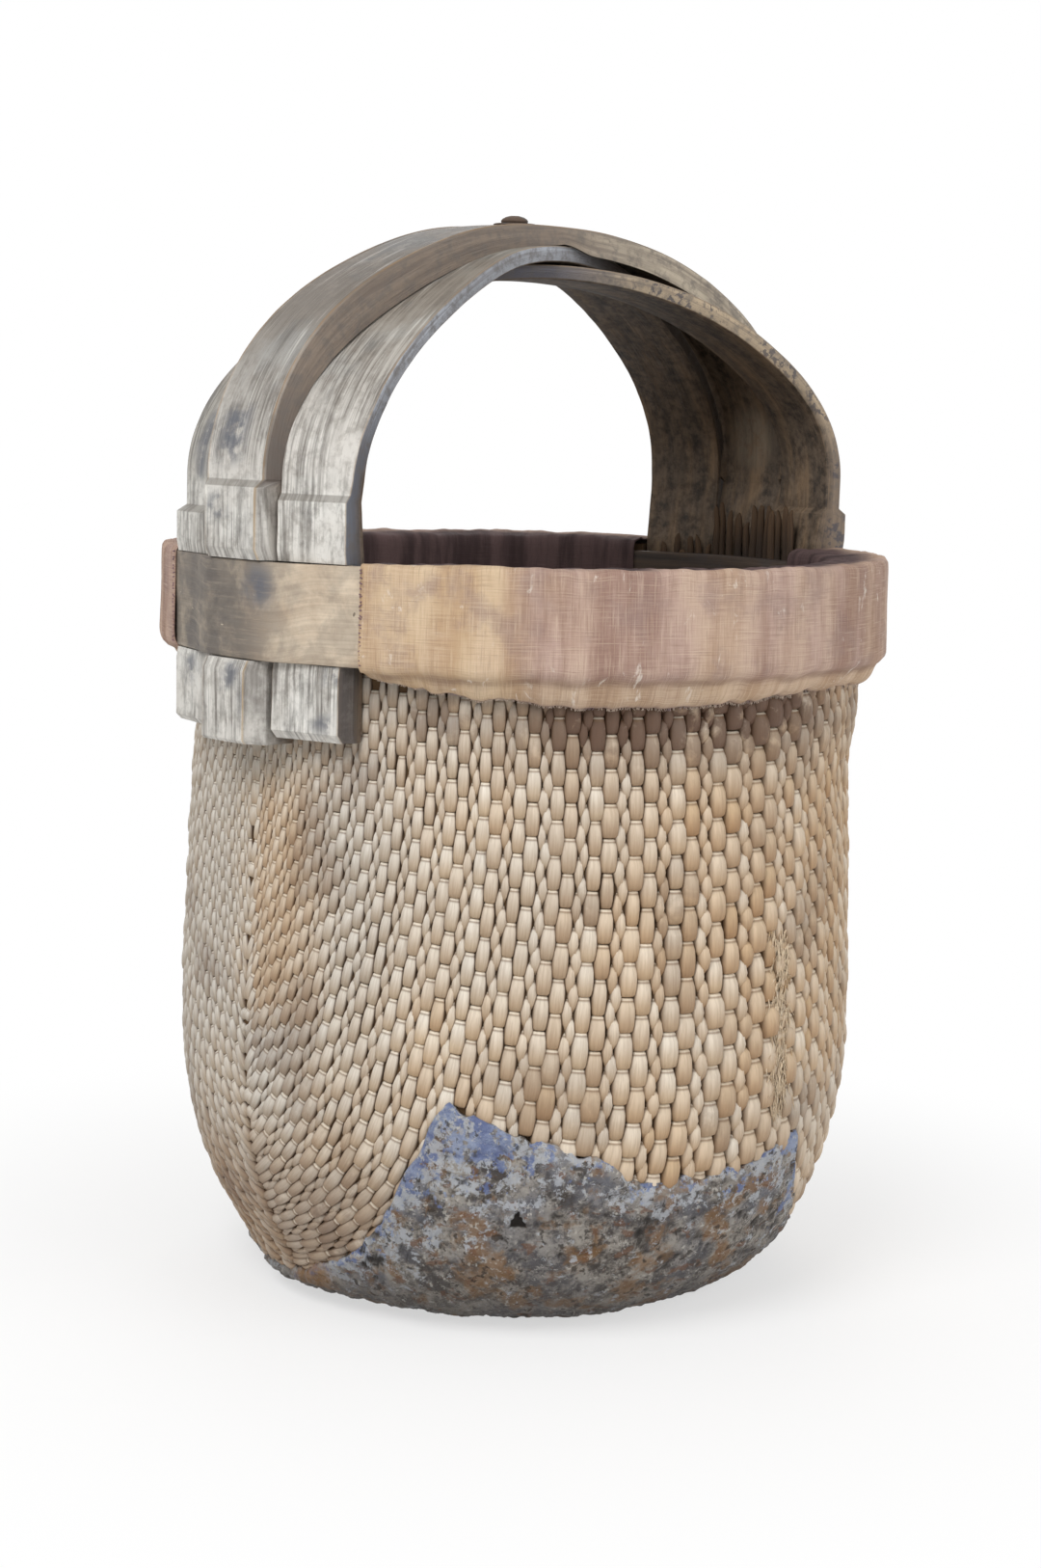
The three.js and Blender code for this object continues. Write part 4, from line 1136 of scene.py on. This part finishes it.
pegShape = dict(ring=48, gap=1.2, dent=0.7, seed=51, head=4.0, bore=3.5)
pegLow, pegHigh = nodeBox("crown_peg")
pegAt = np.array([(pegLow[0] + pegHigh[0]) / 2, (pegLow[1] + pegHigh[1]) / 2, 0])


# The peg: radius and height pairs carried round, dented by noise, its ends closed by poles
def makePeg(shape):
    top, foot = pegHigh[2], pegLow[2]
    headLow = top - shape["head"]
    outline = fillLine([
        (0, top), (2.8, top - 0.15), (5.0, top - 0.7), (6.6, top - 1.7), (7.4, top - 2.8),
        (7.1, headLow + 0.3), (6.0, headLow), (3.2, headLow), (3.2, foot + 2.0), (4.6, foot + 1.9),
        (5.0, foot + 1.2), (4.0, foot), (0, foot)], shape["gap"])
    radius, dent = outline[:, :1], shape["dent"]
    points = turned(radius, fullTurn(shape["ring"]), outline[:, 1:])
    points[..., :2] *= (1 + dent * latticeNoise(points, 6, shape["seed"]) / 8)[..., None]
    points[..., 2] += 0.25 * dent * latticeNoise(points, 4, shape["seed"] + 1) * (radius > 1)
    points, faces = poleShell(points + pegAt)
    return makePiece("crown_peg_forged", points, faces, pegIron, ["crown_peg"])


# A plate round the peg: a ring with eased edges, its outside dented by noise
def makePegPlate(name, outer, shape):
    low, high = nodeBox(name)[0][2], nodeBox(name)[1][2]
    ring = np.array([(shape["bore"], low), (outer - 0.6, low), (outer, low + 0.4), (outer, high - 0.4),
                     (outer - 0.7, high), (shape["bore"], high)])
    points = turned(ring[:, :1], fullTurn(shape["ring"]), ring[:, 1:])
    points[1:5, :, :2] *= (1 + 0.05 * latticeNoise(points[1:5], 7, 57))[..., None]
    faces = [gridQuads(len(ring), shape["ring"], True, True)]
    makePiece(name + "_plate", points + pegAt, faces, pegIron, [name])


makePeg(pegShape)
makePegPlate("crown_washer", 11.5, pegShape)
makePegPlate("crown_rove", 9.0, pegShape)
print("peg made")


rodEnds = dict(inner=173.4, outer=180.6, spread=16.5, count=18, low=360.0, tallest=bodyHigh[2] + 3.0, ring=8,
               half=2.5, level=(0, 0.3, 0.6, 0.85, 0.96, 1.0), thin=(1.0, 1.05, 0.95, 0.9, 0.78, 0.45))


# Rod ends behind a handle foot: tapered oval rods side by side, each cut off at its own height
def makeRodEnds(name, legTurn, heights, seed):
    draw = np.random.default_rng(seed)
    count, low = rodEnds["count"], rodEnds["low"]
    turn = np.radians(np.linspace(-rodEnds["spread"], rodEnds["spread"], count)) + legTurn
    turn = turn[:, None, None]
    middle = (rodEnds["inner"] + rodEnds["outer"]) / 2
    level, thin = np.array(rodEnds["level"]), np.array(rodEnds["thin"])[None, :, None]
    around = fullTurn(rodEnds["ring"])
    tall = np.clip(heights + 0.08 * draw.normal(0, 1, count), 0.55, 1)
    top = low + (rodEnds["tallest"] - low) * tall
    wide = rodEnds["half"] * (1 + 0.2 * draw.normal(0, 1, count))[:, None, None]
    height = (low + (top - low)[:, None] * level)[..., None]
    side = draw.normal(0, 1.3, count)[:, None] * level + 0.5 * draw.normal(0, 1, (count, len(level)))
    radial = middle - draw.uniform(0, 1.6, count)[:, None, None] + 2.0 * thin * np.sin(around) + 0 * height
    tangent = side[..., None] + wide * thin * np.cos(around)
    slant = draw.uniform(-2.0, 2.0, count)[:, None, None] * np.cos(around) * (level > 0.8)[None, :, None]
    points = stacked(radial * np.cos(turn) - tangent * np.sin(turn),
                     radial * np.sin(turn) + tangent * np.cos(turn), height + slant)
    uv = stacked(around[None, None, :] / (2 * math.pi), level[None, :, None] + 0 * radial)
    tone = np.broadcast_to(draw.uniform(0, 1, count)[:, None, None], points.shape[:3])
    return makePiece(name, points, tubeFaces(*points.shape[:3]), rodEndWood, ["woven_body"], uv,
                     {"tone": tone})


rodPlaces = np.linspace(0, 1, rodEnds["count"])
makeRodEnds("rod_ends_right", 0.0, np.where(rodPlaces < 0.66, 0.95, 0.66), 71)
makeRodEnds("rod_ends_left", math.pi, np.where(rodPlaces > 0.3, 0.94, 0.68), 72)
print("rod ends made")


# hem is the hem's height by angle, and warm is how ochre the cloth is by angle
cloth = dict(
    start=21.9, outside=hoopOuter + 1.5, inside=165.2, top=rimTop + 1.6, thick=1.0, columns=320, rows=92,
    tuck=352.0, hem=336.5, scale=200)
rims = {
    "front": dict(
        first=-180 + cloth["start"], last=-cloth["start"], seed=81,
        hem=[(-161, 350.5), (-157, 348), (-151, 344.3), (-143.7, 341.2), (-134.6, 339.3), (-125.4, 337.3),
             (-109.3, 336.8), (-98, 338.5), (-89, 340.5), (-74, 340.6), (-50, 338.0), (-20, 345)],
        warm=[(-158, 1), (-138, 0.95), (-132, 0.08), (-112, 0.05), (-108, 0.35), (-102, 0.35), (-97, 0.08),
              (-62, 0.2), (-42, 0.4), (-22, 0.3)]),
    "back": dict(
        first=cloth["start"], last=180 - cloth["start"], seed=91,
        hem=[(20, 349), (40, 343), (70, 338), (95, 340), (120, 337), (145, 342), (160, 349)],
        warm=[(22, 0.2), (60, 0.1), (95, 0.4), (110, 0.3), (150, 0.1)]),
}


# A smooth line through corner points: corners cut three times, then even steps of length
def easedLine(corners, count):
    line = np.array(corners, float)
    for unused in range(3):
        before, after = line[:-1], line[1:]
        cut = np.stack([0.75 * before + 0.25 * after, 0.25 * before + 0.75 * after], axis=1).reshape(-1, 2)
        line = np.concatenate([line[:1], cut, line[-1:]])
    length = runAlong(line)
    even = np.linspace(0, length[-1], count)
    return np.stack([np.interp(even, length, line[:, 0]), np.interp(even, length, line[:, 1])], axis=-1), even


# Rim cloth: a profile from the hem over the hoops and down inside, carried round between two feet
def makeCloth(name, node, rim):
    out, inn, top, tuck = cloth["outside"], cloth["inside"], cloth["top"], cloth["tuck"]
    seed, scale = rim["seed"], cloth["scale"]
    profile, run = easedLine([
        (184.4, cloth["hem"]), (188.6, 338.4), (191.9, 342.4), (193.4, 347.2), (196.0, 350.6), (200.4, 353.4),
        (out + 0.8, 359), (out + 0.6, 368), (out, 384), (out, top - 3.2), (out - 1.0, top - 0.1),
        (out - 6, top + 0.4), (183, top - 1.2), (inn + 5, top - 0.6), (inn + 0.2, top - 3.5), (inn, top - 16),
        (inn - 0.2, 362), (inn, 352), (inn + 3, 345), (171.5, 336)], cloth["rows"])
    degrees = np.linspace(rim["first"], rim["last"], cloth["columns"])
    turn = np.radians(degrees)
    degrees = np.degrees(turn)
    shape = (len(turn), cloth["rows"])
    radius = np.broadcast_to(profile[None, :, 0], shape)
    height = np.broadcast_to(profile[None, :, 1], shape)
    outer = np.arange(cloth["rows"])[None, :] < np.argmax(profile[:, 1])
    ring = turned(scale, turn, 0)
    hemHeight = readTable(rim["hem"], degrees) + 1.1 * latticeNoise(ring, 9, seed)
    hemHeight = hemHeight + 0.7 * latticeNoise(ring, 3.5, seed + 1)
    drop = ((tuck - hemHeight) / (tuck - cloth["hem"]))[:, None]
    height = np.where(outer & (height < tuck), tuck + (height - tuck) * drop, height)
    points = turned(radius, turn[:, None], height)
    crease = 0.55 * latticeNoise(points * np.array([1, 1, 0.35]), 24, seed + 2)
    crease = crease + 0.3 * latticeNoise(points * np.array([1, 1, 0.5]), 9, seed + 3)
    level = points * np.array([1, 1, 0])
    upper = easeStep(384, top, height)
    low = easeStep(366, 350, height) * outer
    swell = np.where(outer | (radius > 186), (0.4 + 0.8 * crease) * (0.7 + 0.9 * low), -0.4 - 0.9 * crease)
    loose = easeStep(-80, -55, degrees) * easeStep(-21, -32, degrees)   # the skirt hangs out here
    swell = swell + 2.2 * loose[:, None] * easeStep(360, 346, height) * outer
    points[..., :2] *= (1 + swell / radius)[..., None]
    ripple = 0.4 + 0.9 * latticeNoise(level, 15, seed + 4) + 0.5 * latticeNoise(level, 5, seed + 5)
    points[..., 2] += upper * ripple
    points[..., 2] += low * easeStep(340, 350, height) * 1.2 * latticeNoise(level, 13, seed + 6)
    uv = stacked((turn * scale * mm)[:, None], run[None, :] * mm)
    warm = readTable(rim["warm"], degrees)[:, None]
    warm = np.clip(warm + 0.2 * latticeNoise(points * np.array([1, 1, 0.3]), 12, seed + 9), 0, 1)
    # inside marks the cloth inside the rim, which the canvas paints in shade; skirt drives a painted
    # highlight and the painted crease shadow
    values = {"warm": warm, "skirt": easeStep(353, 347, height) * outer,
              "hem": easeStep(3.2, 0.6, run)[None, :] + 0 * radius,
              "inside": easeStep(199, 182, radius) * ~outer}
    faces = [gridQuads(*shape)[:, ::-1]]
    piece = makePiece(name, points, faces, canvas, [node], uv, values, closed=False)
    thicken = piece.modifiers.new("cloth thickness", "SOLIDIFY")
    thicken.thickness, thicken.offset = cloth["thick"] * mm, -1
    return piece, points, run[-1]


# Loose fibres: thin three-sided tapers from given roots, falling along the given way and leaning aside
def makeFibres(name, root, outward, longest, thick, material, stands, seed):
    draw = np.random.default_rng(seed)
    count = len(root)
    tangent = np.stack([-outward[:, 1], outward[:, 0], 0 * outward[:, 0]], axis=-1)
    tangent /= np.linalg.norm(tangent, axis=1)[:, None]
    long = draw.uniform(0.25, 1, count)[:, None, None] * longest
    lean = draw.normal(0, 0.5, count)[:, None, None]
    level = np.array([-0.4, 0.3, 1.0])[None, :, None]
    thin = thick * np.array([1.0, 0.8, 0.3])
    spine = root[:, None] + long * lean * tangent[:, None] * level ** 2 - long * level * np.array([0, 0, 1])
    spine = spine + draw.uniform(-0.35, 0.25, count)[:, None, None] * long * level * outward[:, None]
    around = np.radians([0, 120, 240])[None, None, :, None]
    section = np.cos(around) * tangent[:, None, None] + np.sin(around) * outward[:, None, None]
    points = spine[:, :, None] + thin[None, :, None, None] * section
    return makePiece(name, points, tubeFaces(count, 3, 3), material, stands)


# Roots spread at random along a hem line, a little behind it, and the way out from it
def hemRoots(line, count, seed):
    at = np.random.default_rng(seed).uniform(0, len(line) - 1.01, count)
    low = np.floor(at).astype(int)
    root = line[low] + (line[low + 1] - line[low]) * (at - low)[:, None]
    outward = root * np.array([1, 1, 0]) / np.linalg.norm(root[:, :2], axis=1)[:, None]
    return root - 0.35 * outward, outward


# Stitches at a cloth's two ends: short thread loops over the cut edge, small closed ovals
def makeStitches(name, turns, seed, each=22):
    draw = np.random.default_rng(seed)
    count = each * len(turns)
    height = np.concatenate([np.linspace(hoopBottom + 2, rimTop - 1, each)] * len(turns))
    height = height + draw.normal(0, 0.5, count)
    turn = np.radians(np.repeat(turns, each)) + draw.normal(0, 0.0012, count)
    along = np.linspace(-1, 1, 5)
    around = fullTurn(6)
    long = draw.uniform(0.5, 1.2, count)[:, None]
    spin = turn[:, None] + long * along / cloth["scale"]
    radius = cloth["outside"] + 0.7 - 0.7 * along ** 2 + 0 * spin
    level = height[:, None] + long * along * draw.normal(0, 0.5, count)[:, None]
    thick = 0.42 * np.sqrt(1.05 - along ** 2)[None, :, None]
    points = turned(radius[..., None] + thick * np.cos(around), spin[..., None],
                    level[..., None] + thick * np.sin(around))
    return makePiece(name, points, tubeFaces(*points.shape[:3]), seamThread)


for side, rim in rims.items():
    seed = rim["seed"]
    piece, points, tall = makeCloth("rim_cloth_" + side + "_canvas", "rim_cloth_" + side, rim)
    root, outward = hemRoots(points[:, 0], 760, seed + 7)
    fray = makeFibres("rim_fray_" + side, root, outward, 2.6, 0.3, hemThread, (), seed + 7)
    stitches = makeStitches("rim_stitches_" + side, [rim["first"] + 0.2, rim["last"] - 0.2], seed + 8)
    round(tall * mm + 0.004, 3)
    print("cloth", side, "profile length", round(tall, 1))

# A worn strip of the weave where the stitches have split into fibres
draw = np.random.default_rng(77)
wornTurn, wornDown = np.radians(draw.normal(-86.6, 1.2, 320)), draw.uniform(188, 285, 320)
makeFibres("weave_worn_strip", bodyPoint(wornTurn, wornDown, 1.3), turned(1, wornTurn, 0), 8.0, 0.5,
           splitWillow, ["woven_body"], 78)
print("rim cloth made")

for name in ("outer_hoop_pin_1", "outer_hoop_pin_2", "inner_hoop_pin_1", "inner_hoop_pin_2",
             "rim_packing_front", "rim_packing_back"):
    nodes[name].data.materials.clear()
    nodes[name].data.materials.append(gapShade if "packing" in name else darkWood)


# 1 for rays that come from the camera, straight or by way of gloss or glass
def seenRays(tree):
    path = tree.nodes.new("ShaderNodeLightPath").outputs
    direct, glossy, clear = [
        Wire(tree, path["Is " + kind + " Ray"]) for kind in ("Camera", "Glossy", "Transmission")]
    return (direct + glossy).step("ADD", clear, True)


# Ends a tree that has been cleared with a mix of two shaders
def endTree(tree, kind, share, first, second):
    output = tree.nodes.new("ShaderNodeOutput" + kind)
    feed(tree, output.inputs["Surface"], wire(tree, "MixShader", {0: share, 1: first, 2: second}))


# Floor and world: white to the camera, the floor darkened near the object by its own shadow
def makeStage(span=4.0):
    mesh = bpy.data.meshes.new("floor")
    corners = [(-span, -span, 0), (span, -span, 0), (span, span, 0), (-span, span, 0)]
    mesh.from_pydata(corners, [], [(0, 1, 2, 3)])
    floor = bpy.data.objects.new("floor", mesh)
    bpy.context.scene.collection.objects.link(floor)
    material, world = bpy.data.materials.new("pale floor"), bpy.data.worlds.new("studio")
    material.use_nodes = world.use_nodes = True
    tree = material.node_tree
    tree.nodes.clear()
    matt = wire(tree, "BsdfDiffuse", {"Color": (0.92, 0.92, 0.92, 1)})
    white = wire(tree, "Emission", {"Color": (1, 1, 1, 1), "Strength": 1.0})
    where = Wire(tree, tree.nodes.new("ShaderNodeTexCoord").outputs["Object"])
    away = distance(where, (0, 0, 0)).eased(0.15, 0.52, 0.6, 1.0)
    endTree(tree, "Material", seenRays(tree) * away, matt, white)
    mesh.materials.append(material)
    bpy.context.scene.world = world
    tree = world.node_tree
    tree.nodes.clear()
    soft = wire(tree, "Background", {"Color": (1.0, 0.99, 0.97, 1), "Strength": 0.39})
    white = wire(tree, "Background", {"Color": (1, 1, 1, 1), "Strength": 1.0})
    endTree(tree, "World", seenRays(tree), soft, white)


makeStage()

lamps = {
    "key": dict(place=(-1.75, -0.55, 1.95), size=1.4, power=37),
    "fill": dict(place=(0.5, -2.1, 1.1), size=1.8, power=18),
    "back": dict(place=(1.4, 1.6, 1.8), size=1.8, power=15),
}
for name, lamp in lamps.items():
    light = bpy.data.lights.new(name, "AREA")
    light.shape, light.size, light.energy = "DISK", lamp["size"], lamp["power"]
    made = bpy.data.objects.new(name, light)
    bpy.context.scene.collection.objects.link(made)
    made.location = lamp["place"]
    x, y, z = np.array([0, 0, 0.28]) - np.array(lamp["place"])
    made.rotation_mode = "XYZ"
    made.rotation_euler = (math.atan2(math.hypot(x, y), -z), 0, math.atan2(y, x) - math.pi / 2)

# The photograph's viewpoint: turned round Z, a little above the rim, tipped down and rolled a degree
viewpoint = dict(azimuth=-44.4, distance=1.5, above=0.0816, sideways=0.0005, tip=8.08, roll=1.39,
                 lens=2783 * 36 / 1626)
azimuth = math.radians(viewpoint["azimuth"])
cameraData = bpy.data.cameras.new("photo view")
cameraData.lens, cameraData.sensor_width = viewpoint["lens"], 36
camera = bpy.data.objects.new("photo view", cameraData)
bpy.context.scene.collection.objects.link(camera)
spot = (math.sin(azimuth) * viewpoint["distance"] + viewpoint["sideways"] * math.cos(azimuth),
        -math.cos(azimuth) * viewpoint["distance"] + viewpoint["sideways"] * math.sin(azimuth),
        rimTop * mm + viewpoint["above"])
camera.matrix_world = (Matrix.Translation(spot) @ Matrix.Rotation(azimuth, 4, "Z")
                       @ Matrix.Rotation(math.radians(90 - viewpoint["tip"]), 4, "X")
                       @ Matrix.Rotation(math.radians(viewpoint["roll"]), 4, "Z"))
bpy.context.scene.camera = camera
bpy.context.scene.view_settings.view_transform = "Standard"

print("scene made")
